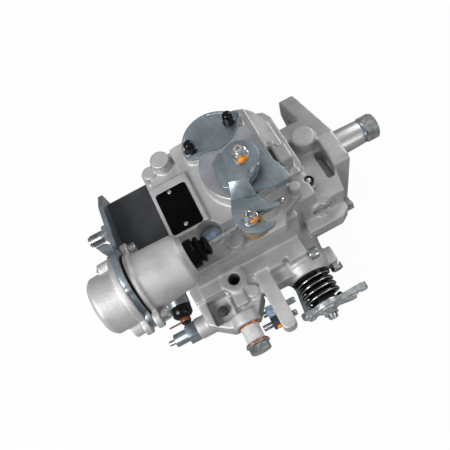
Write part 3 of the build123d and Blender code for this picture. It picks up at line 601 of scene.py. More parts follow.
def turned(name: str, stations: Stations, sides: int = 40) -> bpy.types.Object:
    """Turns a closed round piece along +Z.

    Args:
        name: The piece's name.
        stations: Height and radius of each step of its outline, in millimetres.
        sides: Facets round it.

    Returns:
        The piece, at the origin.
    """
    height, radius = stations[0]
    deselect()
    bpy.ops.mesh.primitive_circle_add(vertices=sides, radius=radius * MM, fill_type="NGON")
    piece = bpy.context.object
    piece.name = name
    piece.data.transform(Matrix.Translation((0, 0, height * MM)))
    bpy.ops.object.mode_set(mode="EDIT")
    bpy.ops.mesh.select_all(action="SELECT")
    for next_height, next_radius in stations[1:]:
        rise = (0, 0, (next_height - height) * MM)
        bpy.ops.mesh.extrude_region_move(TRANSFORM_OT_translate={"value": rise})
        share = next_radius / radius
        bpy.ops.transform.resize(
            value=(share, share, 1), center_override=(0, 0, next_height * MM)
        )
        height, radius = next_height, next_radius
    bpy.ops.object.mode_set(mode="OBJECT")
    tidy_normals(piece)
    smooth_by_angle(piece)
    return piece


@dataclass(frozen=True)
class HexForm:
    """Form of the ends of hexagon heads and nuts.

    Args:
        slope: Rise of the chamfer for each millimetre that it cuts back.
        inset: How far the round end face stays inside the flats.
        clearance: How far the chamfer's cutter clears the corners.
        bore_floor: Where a sunk bore ends, as a share of the height.
    """

    slope: float = 0.62
    inset: float = 0.15
    clearance: float = 0.1
    bore_floor: float = 0.45


HEX_FORM = HexForm()


def hex_head(
    name: str, flats: float, height: float, turn: float = 0.0, bore: float = 0.0
) -> bpy.types.Object:
    """Makes a hexagon head or nut along +Z, chamfered at both ends.

    Args:
        name: The piece's name.
        flats: Width across flats in millimetres.
        height: Its height.
        turn: Angle that it is turned by, in degrees.
        bore: Radius of a sunk bore in its end, or 0.

    Returns:
        The piece, at the origin.
    """
    corner = flats / sqrt(3)
    face = flats / 2
    deselect()
    bpy.ops.mesh.primitive_cylinder_add(vertices=6, radius=corner * MM, depth=height * MM)
    piece = bpy.context.object
    piece.name = name
    piece.data.transform(
        Matrix.Rotation(radians(turn), 4, "Z") @ Matrix.Translation((0, 0, height / 2 * MM))
    )
    rise = (corner - face) * HEX_FORM.slope
    land = face - HEX_FORM.inset
    clear = corner + HEX_FORM.clearance
    outline = ((0.0, land), (rise, clear), (height - rise, clear), (height, land))
    trim(piece, turned(name + "_chamfer", outline))
    if bore:
        floor = height * HEX_FORM.bore_floor
        cut(piece, turned(name + "_bore", ((floor, bore), (height + OVERCUT, bore)), 24))
    smooth_by_angle(piece, 25)
    return piece


def threaded(
    name: str, start: float, end: float, radius: float, pitch: float, tip: float = 0.6
) -> bpy.types.Object:
    """Makes a threaded bar along +Z as a row of rings with a chamfered tip.

    Args:
        name: The piece's name.
        start: Where the thread starts, in millimetres.
        end: Where it ends.
        radius: Outer radius.
        pitch: Distance between crests.
        tip: Length of the chamfer.

    Returns:
        The piece.
    """
    root = radius - 0.6 * pitch
    ring = ((0.35, radius), (0.55, radius), (0.95, root))
    stations = [(start, root)]
    height = start
    while height + pitch < end - tip:
        stations.extend((height + share * pitch, size) for share, size in ring)
        height += pitch
    stations.append((end - tip, root + 0.1))
    stations.append((end, root - 0.3 * tip))
    return turned(name, tuple(stations), 24)


def wire_coil(
    name: str, radius: float, wire: float, pitch: float, turns: float, flat: float = 1.0
) -> bpy.types.Object:
    """Winds a spring along +Z with the Screw modifier.

    Args:
        name: The spring's name.
        radius: Radius of its centreline in millimetres.
        wire: Radius of the wire.
        pitch: Distance from coil to coil.
        turns: Number of coils.
        flat: Height of the wire as a share of its width.

    Returns:
        The spring, its first coil at the origin.
    """
    deselect()
    bpy.ops.mesh.primitive_circle_add(vertices=12, radius=wire * MM, fill_type="NOTHING")
    piece = bpy.context.object
    piece.name = name
    upright = Matrix.Translation((radius * MM, 0, 0)) @ Matrix.Rotation(pi / 2, 4, "X")
    piece.data.transform(upright @ Matrix.Diagonal((1, flat, 1, 1)))
    steps = round(COIL_STEPS * turns)
    apply_modifier(
        piece, "SCREW", axis="Z", angle=2 * pi * turns, screw_offset=pitch * turns * MM,
        iterations=1, steps=steps, render_steps=steps,
    )
    activate(piece)
    bpy.ops.object.mode_set(mode="EDIT")
    bpy.ops.mesh.select_all(action="SELECT")
    bpy.ops.mesh.fill_holes(sides=0)
    bpy.ops.object.mode_set(mode="OBJECT")
    tidy_normals(piece)
    smooth_all(piece)
    return piece


def slab(name: str, low: Point, high: Point, edge: float = 0.0) -> bpy.types.Object:
    """Makes a block between two corners, with sharp or eased edges.

    Args:
        name: The block's name.
        low: Lowest corner in millimetres.
        high: Highest corner.
        edge: Width of its eased edges, or 0.

    Returns:
        The block.
    """
    deselect()
    bpy.ops.mesh.primitive_cube_add(size=1.0)
    piece = bpy.context.object
    piece.name = name
    size = [(high[k] - low[k]) * MM for k in range(3)]
    middle = [(high[k] + low[k]) / 2 * MM for k in range(3)]
    piece.data.transform(Matrix.Translation(middle) @ Matrix.Diagonal((*size, 1)))
    if edge:
        apply_modifier(piece, "BEVEL", width=edge * MM, segments=2)
        smooth_by_angle(piece)
    return piece


def plate(
    name: str, outline: Outline, low: float, high: float, corner: float, edge: float
) -> bpy.types.Object:
    """Cuts a flat plate with rounded corners and eased edges, lying across Z.

    Args:
        name: The plate's name.
        outline: Its corners in millimetres, in order.
        low: Height of its underside.
        high: Height of its top.
        corner: Radius of its corners.
        edge: Width of its eased edges, or 0.

    Returns:
        The plate.
    """
    deselect()
    bpy.ops.mesh.primitive_circle_add(vertices=len(outline), radius=MM, fill_type="NGON")
    piece = bpy.context.object
    piece.name = name
    for vertex, (x, y) in zip(piece.data.vertices, outline):
        vertex.co = (x * MM, y * MM, low * MM)
    bpy.ops.object.mode_set(mode="EDIT")
    bpy.ops.mesh.select_mode(type="VERT")
    bpy.ops.mesh.select_all(action="SELECT")
    bpy.ops.mesh.bevel(offset=corner * MM, segments=6, affect="VERTICES", clamp_overlap=True)
    bpy.ops.mesh.select_all(action="SELECT")
    rise = (0, 0, (high - low) * MM)
    bpy.ops.mesh.extrude_region_move(TRANSFORM_OT_translate={"value": rise})
    bpy.ops.object.mode_set(mode="OBJECT")
    tidy_normals(piece)
    if edge:
        apply_modifier(
            piece, "BEVEL", width=edge * MM, segments=2, limit_method="ANGLE",
            angle_limit=radians(50),
        )
    smooth_by_angle(piece)
    return piece


def paint_dab(name: str, place: Point, reach: Point) -> bpy.types.Object:
    """Makes a smooth dab of sealing paint.

    Args:
        name: The dab's name.
        place: Its middle in millimetres.
        reach: How far it reaches from there along X, Y and Z.

    Returns:
        The dab.
    """
    deselect()
    bpy.ops.mesh.primitive_ico_sphere_add(subdivisions=3, radius=MM)
    dab = bpy.context.object
    dab.name = name
    dab.data.transform(Matrix.Translation(metres(place)) @ Matrix.Diagonal((*reach, 1)))
    smooth_all(dab)
    return dab


@dataclass(frozen=True)
class Post:
    """A boss along +Z with a flared foot, to be cast in one with a body.

    Args:
        name: The post's name.
        foot: Middle of its foot in millimetres.
        height: Its height.
        radius: Its radius at the top.
        flare: Width and height of the flare at its foot.
        draft: How much wider it is above the flare than at the top.
    """

    name: str
    foot: Point
    height: float
    radius: float
    flare: float
    draft: float = 0.2

    def made(self) -> bpy.types.Object:
        """Turns the post in its place."""
        stations = (
            (0.0, self.radius + self.flare),
            (self.flare, self.radius + self.draft),
            (self.height, self.radius),
        )
        return placed(turned(self.name, stations, 32), self.foot, Axis.Z)


@dataclass(frozen=True)
class RodLine:
    """The actuator's axis, measured from the swivel in the lever's slot."""

    swivel: Point = (-101.0, -66.2, 85.0)
    yaw: float = 3.3

    def way(self) -> Vector:
        """Gives the direction towards the lever."""
        return Vector((cos(radians(self.yaw)), sin(radians(self.yaw)), 0))

    def at(self, distance: float) -> Point:
        """Gives the point that lies so many millimetres past the swivel."""
        return tuple(Vector(self.swivel) + self.way() * distance)


@dataclass
class Castings:
    """The aluminium castings: housing, governor cover and the two actuator halves."""

    body: str = "housing"
    housing_cell: float = 1.1
    cover_cell: float = 0.8
    cup_cell: float = 0.75
    # The cover's rear corner is cut down round its posts; walls keep the chamber closed there
    corner_cut: Box = ((-175.0, 7.0, 58.5), (-131.0, 48.0, 100.0))
    corner_floor: Box = ((-153.0, 7.0, 57.0), (-130.0, 27.0, 58.5))
    corner_wall: Box = ((-131.2, 5.6, 57.0), (-129.4, 27.0, 68.2))
    corner_side: Box = ((-153.0, 5.4, 57.0), (-129.4, 7.2, 68.2))
    tall_post: Post = Post("tall_post", (-142.0, 29.5, 57.0), 13.0, 8.3, 1.5)
    short_post: Post = Post("short_post", (-155.5, 29.0, 57.0), 3.5, 6.3, 1.0)
    # Square lug in its pocket, with a slim post beside it
    lug_pocket: Box = ((-60.5, -31.0, 59.5), (-40.0, -6.0, 95.0))
    square_lug: Box = ((-57.0, -28.0, 57.5), (-45.5, -12.0, 69.5))
    lug_edge: float = 0.8
    lug_post: Post = Post("lug_post", (-56.0, -9.0, 57.5), 14.0, 3.1, 0.5)
    # Slope towards the flange: its cutter, the upper edge of the slope and its lean
    slope_cut: Box = ((-40.0, -60.0, 0.0), (40.0, 60.0, 40.0))
    slope_edge: Point = (-57.5, 0.0, 69.8)
    slope_lean: float = 49.0
    # Actuator: groove in the shoulder of its front half, and the clamped diaphragm
    line: RodLine = RodLine()
    groove_start: float = -53.8
    groove_depth: float = 8.0
    groove_outer: float = 17.9
    groove_inner: float = 15.4
    diaphragm_start: float = -93.1
    diaphragm_edge: Stations = ((0.0, 25.7), (0.2, 25.9), (1.1, 25.9), (1.3, 25.7))
    # Turned face of the boss under the throttle lever, trimmed where the slope starts
    boss: Point = (-86.0, -18.0, 80.0)
    boss_form: Stations = ((0.0, 32.3), (3.8, 32.3), (4.3, 31.8))
    boss_trim: Box = ((-63.0, -60.0, 70.0), (-40.0, 30.0, 95.0))

    def build(self) -> None:
        """Casts the four bodies and dresses them."""
        housing = soft_casting("pump_housing", "housing_casting", self.housing_cell, 2)
        dress(housing, CAST, self.body, "pump_housing")
        self.cover()
        cup = soft_casting("actuator_cup", "cup_casting", self.cup_cell, 4)
        dress(cup, CAST, self.body, "actuator_cup")
        self.front_half()
        self.diaphragm()
        self.boss_face()

    def cover(self) -> None:
        """Casts the cover with its corner posts, square lug and slope."""
        slope = slab("slope_cut", *self.slope_cut)
        lean = Matrix.Rotation(radians(self.slope_lean), 4, "Y")
        slope.data.transform(Matrix.Translation(metres(self.slope_edge)) @ lean)
        tools = [slab("corner_cut", *self.corner_cut), slope, slab("lug_pocket", *self.lug_pocket)]
        extras = [
            slab("corner_floor", *self.corner_floor),
            slab("corner_wall", *self.corner_wall),
            slab("corner_side", *self.corner_side),
            self.tall_post.made(),
            self.short_post.made(),
            slab("square_lug", *self.square_lug, self.lug_edge),
            self.lug_post.made(),
        ]
        piece = soft_casting("governor_cover", "cover_casting", self.cover_cell, 2, extras, tools)
        dress(piece, CAST, self.body, "governor_cover")

    def front_half(self) -> None:
        """Casts the actuator's front half with the ring groove in its shoulder."""
        ends = (0.0, self.groove_depth)
        ring = turned("groove", tuple((end, self.groove_outer) for end in ends), 64)
        ends = (-OVERCUT, self.groove_depth + OVERCUT)
        cut(ring, turned("groove_core", tuple((end, self.groove_inner) for end in ends), 64))
        placed(ring, self.line.at(self.groove_start), self.line.way())
        piece = soft_casting("actuator_body", "front_casting", self.cup_cell, 3, tools=[ring])
        dress(piece, CAST, self.body, "actuator_body")

    def diaphragm(self) -> None:
        """Clamps the diaphragm, whose black edge shows between the actuator's halves."""
        edge = turned("diaphragm_edge", self.diaphragm_edge, 96)
        origin = self.line.at(self.diaphragm_start)
        dress(placed(edge, origin, self.line.way()), BLACK_RUBBER, self.body)

    def boss_face(self) -> None:
        """Faces the big boss under the throttle lever."""
        face = placed(turned("boss_face", self.boss_form, 96), self.boss, Axis.Z)
        cut(face, slab("boss_trim", *self.boss_trim))
        smooth_by_angle(face)
        # The boss face's cool bluish tint is a painted reflection of the room
        dress(face, CUT_CAST_PAINTED_SHEEN, self.body)


@dataclass
class CoverTop:
    """What is screwed on the governor cover: pan, caps, label blank and screws."""

    body: str = "housing"
    # Pan: width of its raised rim, width of the step inside it and how far its floor is sunk
    pan_rim: float = 1.6
    pan_step: float = 0.5
    pan_sink: float = 0.7
    pan_edge: float = 0.7
    # Caps: radius, foot, and the rounded top as shares of height and radius
    cap_radius: float = 4.4
    cap_foot: float = 0.6
    cap_dome: Stations = ((0.62, 1.0), (0.85, 0.86), (0.96, 0.62), (1.0, 0.3))
    # Label blank and its two rivets
    label_thickness: float = 0.6
    label_corner: float = 2.6
    label_edge: float = 0.12
    rivet_radius: float = 1.7
    rivet_dome: Stations = ((0.0, 1.0), (0.35, 0.93), (0.75, 0.55))
    rivet_tip: tuple[float, float] = (0.85, 0.2)
    rivets_at: Outline = ((-145.5, -7.5), (-144.5, -39.5))
    # Cast rim round the recessed screw
    rim: Point = (-132.0, -53.5, 65.9)
    rim_form: Stations = ((0.0, 11.8), (1.6, 11.8), (2.1, 11.2))
    rim_bore: Stations = ((-1.0, 9.5), (1.6, 9.5), (3.0, 10.4))

    def build(self) -> None:
        """Builds and dresses the pieces."""
        self.pan()
        self.caps()
        self.label()
        self.screws()

    def pan(self) -> None:
        """Presses the leaf-shaped pan with a raised rim."""
        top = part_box("pan_cover")[1].z
        piece = copy_of_node("pan_cover", "pan")
        merge_flats(piece)
        clear_selection(piece)
        for face in piece.data.polygons:
            face.select = face.normal.z > 0.9 and abs(face.center.z - top) < 0.1 * MM
        bpy.ops.object.mode_set(mode="EDIT")
        bpy.ops.mesh.select_mode(type="FACE")
        bpy.ops.mesh.inset(thickness=self.pan_rim * MM, depth=0)
        bpy.ops.mesh.inset(thickness=self.pan_step * MM, depth=-self.pan_sink * MM)
        bpy.ops.object.mode_set(mode="OBJECT")
        apply_modifier(
            piece, "BEVEL", width=self.pan_edge * MM, segments=3, limit_method="ANGLE",
            angle_limit=radians(50), use_clamp_overlap=True,
        )
        smooth_by_angle(piece)
        dress(piece, ZINC_PLATE, self.body, "pan_cover")

    def caps(self) -> None:
        """Turns the two black caps."""
        low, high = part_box("cap_screws")
        radius = self.cap_radius
        foot = radius + self.cap_foot
        height = (high.z - low.z) / MM
        dome = ((height * up, radius * out) for up, out in self.cap_dome)
        outline = ((0.0, foot), (0.8, foot), (1.2, radius), *dome)
        spots = (
            (low.x / MM + radius, low.y / MM + radius),
            (high.x / MM - radius, high.y / MM - radius),
        )
        made = []
        for number, (x, y) in enumerate(spots):
            cap = turned(f"cap_{number}", outline, 32)
            made.append(placed(cap, (x, y, low.z / MM), Axis.Z))
        dress(joined("pan_caps", made), BLACK_NYLON, self.body, "cap_screws")

    def label(self) -> None:
        """Cuts the bare label blank and sets its two rivets."""
        low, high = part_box("label_plate")
        top = low.z / MM + self.label_thickness
        base = (low.x / MM, low.y / MM, low.z / MM)
        blank = slab("label_blank", base, (high.x / MM, high.y / MM, top))
        clear_selection(blank)
        for edge in blank.data.edges:
            ends = [blank.data.vertices[index].co for index in edge.vertices]
            edge.select = abs(ends[0].z - ends[1].z) > 0.1 * MM
        bpy.ops.object.mode_set(mode="EDIT")
        bpy.ops.mesh.select_mode(type="EDGE")
        bpy.ops.mesh.bevel(offset=self.label_corner * MM, segments=6)
        bpy.ops.object.mode_set(mode="OBJECT")
        apply_modifier(
            blank, "BEVEL", width=self.label_edge * MM, segments=2, limit_method="ANGLE",
            angle_limit=radians(60),
        )
        smooth_by_angle(blank)
        dress(blank, BLACK_LABEL, self.body, "label_plate")
        dome = (*((up, self.rivet_radius * out) for up, out in self.rivet_dome), self.rivet_tip)
        made = []
        for number, (x, y) in enumerate(self.rivets_at):
            made.append(placed(turned(f"rivet_{number}", dome, 24), (x, y, top), Axis.Z))
        # The rivets share the turned finish with its painted cool reflection
        dress(joined("label_rivets", made), CUT_CAST_PAINTED_SHEEN, self.body)

    def screws(self) -> None:
        """Eases the cover screws and casts the rim round the recessed one."""
        heads = eased("cover_screws", "cover_screw_heads", 0.5)
        dress(heads, BLUE_ZINC, self.body, "cover_screws")
        ring = turned("recess_rim", self.rim_form, 56)
        cut(ring, turned("recess_bore", self.rim_bore, 56))
        smooth_by_angle(ring)
        dress(placed(ring, self.rim, Axis.Z), CAST, self.body)


@dataclass
class HeadAndPipes:
    """The hydraulic head with its outlets, plug and screws."""

    body: str = "housing"
    # Outlets: the first one's place, the others a quarter turn further each
    outlet_y: float = 22.0
    outlet_z: float = 15.0
    hex_flats: float = 16.0
    hex_length: float = 18.0
    hex_turn: float = 15.0
    neck_radius: float = 5.2
    neck_length: float = 2.2
    thread_length: float = 16.0
    thread_radius: float = 6.0
    thread_pitch: float = 1.5
    # Bore of an outlet, measured from its end, with the cone that a pipe seals on
    bore: Stations = ((-5.0, 1.6), (-1.5, 1.6), (0.5, 3.6))

    def build(self) -> None:
        """Builds and dresses the pieces."""
        dress(eased("hydraulic_head", "head_block", 0.9), BLACK_STEEL, self.body, "hydraulic_head")
        self.outlets()
        dress(eased("head_plug", "head_plug_hexagon", 0.6), BRIGHT_ZINC, self.body, "head_plug")
        dress(eased("head_screws", "head_screw_heads", 0.5), BRIGHT_ZINC, self.body, "head_screws")

    def outlets(self) -> None:
        """Turns the four delivery valve holders."""
        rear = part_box("hydraulic_head")[0].x / MM
        neck_form = (
            (self.hex_length - 0.5, self.neck_radius),
            (self.hex_length + self.neck_length, self.neck_radius),
        )
        end = self.hex_length + self.thread_length
        bore_form = tuple((end + step, radius) for step, radius in self.bore)
        made = []
        for quarter in range(4):
            angle = radians(90 * quarter)
            y = self.outlet_y * cos(angle) - self.outlet_z * sin(angle)
            z = self.outlet_y * sin(angle) + self.outlet_z * cos(angle)
            base = hex_head(f"holder_{quarter}", self.hex_flats, self.hex_length, self.hex_turn)
            neck = turned(f"neck_{quarter}", neck_form, 32)
            thread = threaded(
                f"thread_{quarter}", self.hex_length + 2, end, self.thread_radius,
                self.thread_pitch, 1.0,
            )
            cut(thread, turned(f"bore_{quarter}", bore_form, 24))
            for piece in (base, neck, thread):
                made.append(placed(piece, (rear, y, z), Axis.MINUS_X))
        holders = joined("delivery_holders", made)
        dress(holders, BRIGHT_ZINC, self.body, "delivery_valve_holders")


@dataclass
class Actuator:
    """The actuator's bracket, screws, boot, rod and swivel."""

    body: str = "housing"
    rod_body: str = "rod"
    line: RodLine = RodLine()
    # Rod: plain shank with a threaded end, and the diaphragm's disc; ends measured on the line
    rod_radius: float = 2.5
    rod_pitch: float = 0.8
    thread_start: float = -8.0
    thread_end: float = 29.0
    shank_start: float = -99.0
    disc_form: Stations = ((-98.4, 11.5), (-97.9, 12.0), (-96.6, 12.0), (-96.4, 11.5))
    # Rubber boot: a collar and two folds that get smaller towards the rod
    boot_start: float = -51.0
    boot_form: Stations = (
        (0.0, 10.6), (0.5, 11.2), (5.2, 11.2), (6.0, 10.6), (6.3, 8.6), (7.2, 8.4),
        (7.8, 9.6), (8.8, 10.3), (10.2, 10.2), (11.0, 9.2), (11.4, 6.6), (12.4, 6.2),
        (13.2, 7.0), (14.4, 7.6), (15.6, 7.2), (16.6, 5.6), (17.0, 3.0),
    )
    # Swivel block seen from above
    clamp_outline: Outline = (
        (-108.5, -64.0), (-110.5, -70.0), (-108.0, -78.5), (-99.0, -83.0), (-86.0, -80.0),
        (-82.0, -72.0), (-86.0, -60.0), (-104.0, -58.0),
    )
    clamp_corner: float = 3.0
    clamp_edge: float = 0.4

    def build(self) -> None:
        """Builds and dresses the pieces."""
        bracket = eased("actuator_bracket", "bent_bracket", 0.6, 3)
        dress(bracket, ZINC_PLATE, self.body, "actuator_bracket")
        screws = eased("actuator_screws", "actuator_screw_heads", 0.5, 3)
        dress(screws, BRIGHT_ZINC, self.body, "actuator_screws")
        self.boot()
        self.rod()
        self.swivel_block()

    def boot(self) -> None:
        """Turns the rubber boot with its folds."""
        piece = turned("rubber_boot", self.boot_form, 48)
        placed(piece, self.line.at(self.boot_start), self.line.way())
        dress(piece, BLACK_RUBBER, self.body, "rod_boot")

    def rod(self) -> None:
        """Turns the rod with its thread and the disc that the diaphragm is clamped on."""
        tail = threaded(
            "rod_thread", self.thread_start, self.thread_end, self.rod_radius, self.rod_pitch, 0.8
        )
        shank_form = (
            (self.shank_start, self.rod_radius),
            (self.thread_start + 0.5, self.rod_radius),
        )
        shank = turned("rod_shank", shank_form, 16)
        disc = turned("rod_disc", self.disc_form, 40)
        piece = joined("threaded_rod", [tail, shank, disc])
        placed(piece, self.line.swivel, self.line.way())
        dress(piece, BRIGHT_ZINC, self.rod_body, "actuator_rod")

    def swivel_block(self) -> None:
        """Rounds the swivel block, as seen from above, and eases its edges."""
        block = copy_of_node("swivel_block", "swivel_clamp")
        low, high = (corner.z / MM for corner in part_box("swivel_block"))
        form = plate(
            "clamp_form", self.clamp_outline, low - OVERCUT, high + OVERCUT, self.clamp_corner, 0
        )
        trim(block, form)
        apply_modifier(
            block, "BEVEL", width=self.clamp_edge * MM, segments=2, limit_method="ANGLE",
            angle_limit=radians(40), use_clamp_overlap=True,
        )
        smooth_by_angle(block)
        dress(block, YELLOW_ZINC, self.rod_body, "swivel_block")


@dataclass
class Throttle:
    """The throttle lever, the stop plate under it and their nuts."""

    body: str = "throttle"
    axis_x: float = -86.0
    axis_y: float = -29.0
    stud_x: float = -101.0
    stud_y: float = -71.2
    lever_top: float = 108.0
    hook_top: float = 97.0
    thickness: float = 3.0
    pressed_edge: float = 0.75
    # Upper plate: a round end as an arc of short steps, and the waist towards the joggle
    disc_radius: float = 14.0
    arc_start: float = 138.0
    arc_step: float = 13.2
    arc_points: int = 15
    waist: Outline = ((-86.2, -42.6), (-89.5, -48.3), (-102.6, -43.6))
    # Joggle: left and right ends of its upper and its lower bend
    upper_bend: Outline = ((-102.5, -43.3), (-89.6, -48.0))
    lower_bend: Outline = ((-106.4, -51.2), (-88.4, -57.4))
    hook: Outline = (
        (-106.6, -51.0), (-110.5, -60.0), (-112.0, -69.3), (-108.8, -78.8), (-99.0, -84.5),
        (-89.4, -84.7), (-85.8, -81.5), (-97.9, -76.5), (-103.8, -75.0), (-105.4, -71.2),
        (-103.8, -67.6), (-98.5, -67.2), (-78.6, -72.8), (-77.2, -70.6), (-83.0, -68.0),
        (-86.9, -63.0), (-88.2, -57.6),
    )
    # Gusset: a crescent under the upper plate
    gusset: Outline = (
        (-75.2, -36.4), (-78.0, -40.6), (-82.5, -44.3), (-88.3, -46.8), (-89.0, -44.8),
        (-84.0, -41.8), (-80.3, -38.6), (-77.4, -35.0),
    )
    gusset_low: float = 96.5
    gusset_high: float = 107.3
    # Hexagon sockets in the ends of shaft and stud
    shaft_socket_depth: float = 3.5
    shaft_socket_radius: float = 1.9
    stud_socket: Stations = ((3.5, 1.7), (9.0, 1.7))
    # Washers: heights, and radii as shares of the nut's width across flats
    washer_form: Stations = ((0.0, 0.63), (0.25, 0.66), (1.0, 0.66), (1.2, 0.62))
    washer_top: float = 1.2
    nut_bore: float = 2.9
    nut_turn: float = 20.0
    stud_end: Stations = ((-1.0, 2.9), (7.0, 2.9), (7.4, 2.5))
    stud_form: Stations = ((78.5, 4.6), (78.8, 5.0), (79.8, 5.0), (80.0, 2.6), (97.5, 2.6))
    dab_reach: Point = (3.0, 1.6, 2.6)

    def build(self) -> None:
        """Builds and dresses the pieces."""
        self.lever()
        dress(eased("stop_plate", "stop_sector", 0.4), ZINC_PLATE, "housing", "stop_plate")
        self.nuts()
        self.paint()
        self.shaft()

    def lever(self) -> None:
        """Presses the lever: round end, joggle, hook and side gusset."""
        thick = self.thickness
        arc = []
        for step in range(self.arc_points):
            angle = radians(self.arc_start - step * self.arc_step)
            x = self.axis_x + self.disc_radius * cos(angle)
            arc.append((x, self.axis_y + self.disc_radius * sin(angle)))
        upper = plate(
            "lever_disc", (*arc, *self.waist), self.lever_top - thick, self.lever_top, 0.8,
            self.pressed_edge,
        )
        hook = plate(
            "lever_hook", self.hook, self.hook_top - thick, self.hook_top, 0.9, self.pressed_edge
        )
        pieces = [upper, hook, self.joggle()]
        dress(joined("pressed_lever", pieces), ZINC_PLATE, self.body, "throttle_lever")
        gusset = plate("lever_gusset", self.gusset, self.gusset_low, self.gusset_high, 0.3, 0.3)
        dress(gusset, BRIGHT_ZINC, self.body)

    def joggle(self) -> bpy.types.Object:
        """Bends the sloping strip between the lever's two levels.

        Returns:
            The strip.
        """
        bend = slab("lever_joggle", (0, 0, 0), (1, 1, 1))
        half = 0.5 * MM
        for vertex in bend.data.vertices:
            ends, level = self.upper_bend, self.lever_top
            if vertex.co.y < half:
                ends, level = self.lower_bend, self.hook_top
            x, y = ends[1] if vertex.co.x > half else ends[0]
            z = level if vertex.co.z > half else level - self.thickness
            vertex.co = metres((x, y, z))
        apply_modifier(bend, "BEVEL", width=0.5 * MM, segments=2)
        smooth_by_angle(bend)
        return bend

    def shaft(self) -> None:
        """Eases the throttle shaft and sinks the socket in its end."""
        shaft = eased("throttle_shaft", "lever_shaft", 0.4)
        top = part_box("throttle_shaft")[1].z / MM
        ends = (top - self.shaft_socket_depth, top + OVERCUT)
        drill = turned("shaft_socket", tuple((end, self.shaft_socket_radius) for end in ends), 6)
        cut(shaft, placed(drill, (self.axis_x, self.axis_y, 0), Axis.Z))
        smooth_by_angle(shaft)
        dress(shaft, MACHINED, self.body, "throttle_shaft")

    def nuts(self) -> None:
        """Makes the lever nut, the stud with its nut, and their washers."""
        made = []
        for x, y, top, flats, tall in (
            (self.axis_x, self.axis_y, self.lever_top, 10.0, 6.4),
            (self.stud_x, self.stud_y, self.hook_top, 9.0, 6.6),
        ):
            washer_form = tuple((height, flats * share) for height, share in self.washer_form)
            made.append(placed(turned("washer", washer_form, 40), (x, y, top), Axis.Z))
            nut = hex_head("nut", flats, tall, self.nut_turn, self.nut_bore)
            made.append(placed(nut, (x, y, top + self.washer_top), Axis.Z))
        end = turned("stud_end", self.stud_end, 24)
        cut(end, turned("stud_socket", self.stud_socket, 6))
        above = (self.stud_x, self.stud_y, self.hook_top + self.washer_top)
        made.append(placed(end, above, Axis.Z))
        low = turned("stud_shank", self.stud_form, 24)
        made.append(placed(low, (self.stud_x, self.stud_y, 0), Axis.Z))
        dress(joined("lever_fasteners", made), BRIGHT_ZINC, self.body, "lever_nuts")

    def paint(self) -> None:
        """Dabs sealing paint on the two set nuts."""
        spots = (
            (self.axis_x - 0.6, self.axis_y - 5.6, self.lever_top + 3.6),
            (self.axis_x + 1.6, self.axis_y - 4.6, self.lever_top + 1.8),
            (self.stud_x + 1.6, self.stud_y - 4.0, self.hook_top + 4.2),
        )
        dabs = [paint_dab("paint_dab", spot, self.dab_reach) for spot in spots]
        dress(joined("sealing_paint", dabs), SEAL_PAINT, self.body)


@dataclass
class DriveEnd:
    """The drive shaft with its washer and nut."""

    body: str = "drive"
    nut_flats: float = 22.0
    nut_turn: float = 15.0

    def build(self) -> None:
        """Builds and dresses the pieces."""
        dress(eased("drive_shaft", "taper_shaft", 0.4), MACHINED, self.body, "drive_shaft")
        dress(eased("spring_washer", "split_washer", 0.3), ZINC_PLATE, self.body, "spring_washer")
        low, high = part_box("shaft_nut")
        nut = hex_head("shaft_hexagon", self.nut_flats, (high.x - low.x) / MM, self.nut_turn)
        dress(placed(nut, (low.x / MM, 0, 0), Axis.X), BRIGHT_ZINC, self.body, "shaft_nut")


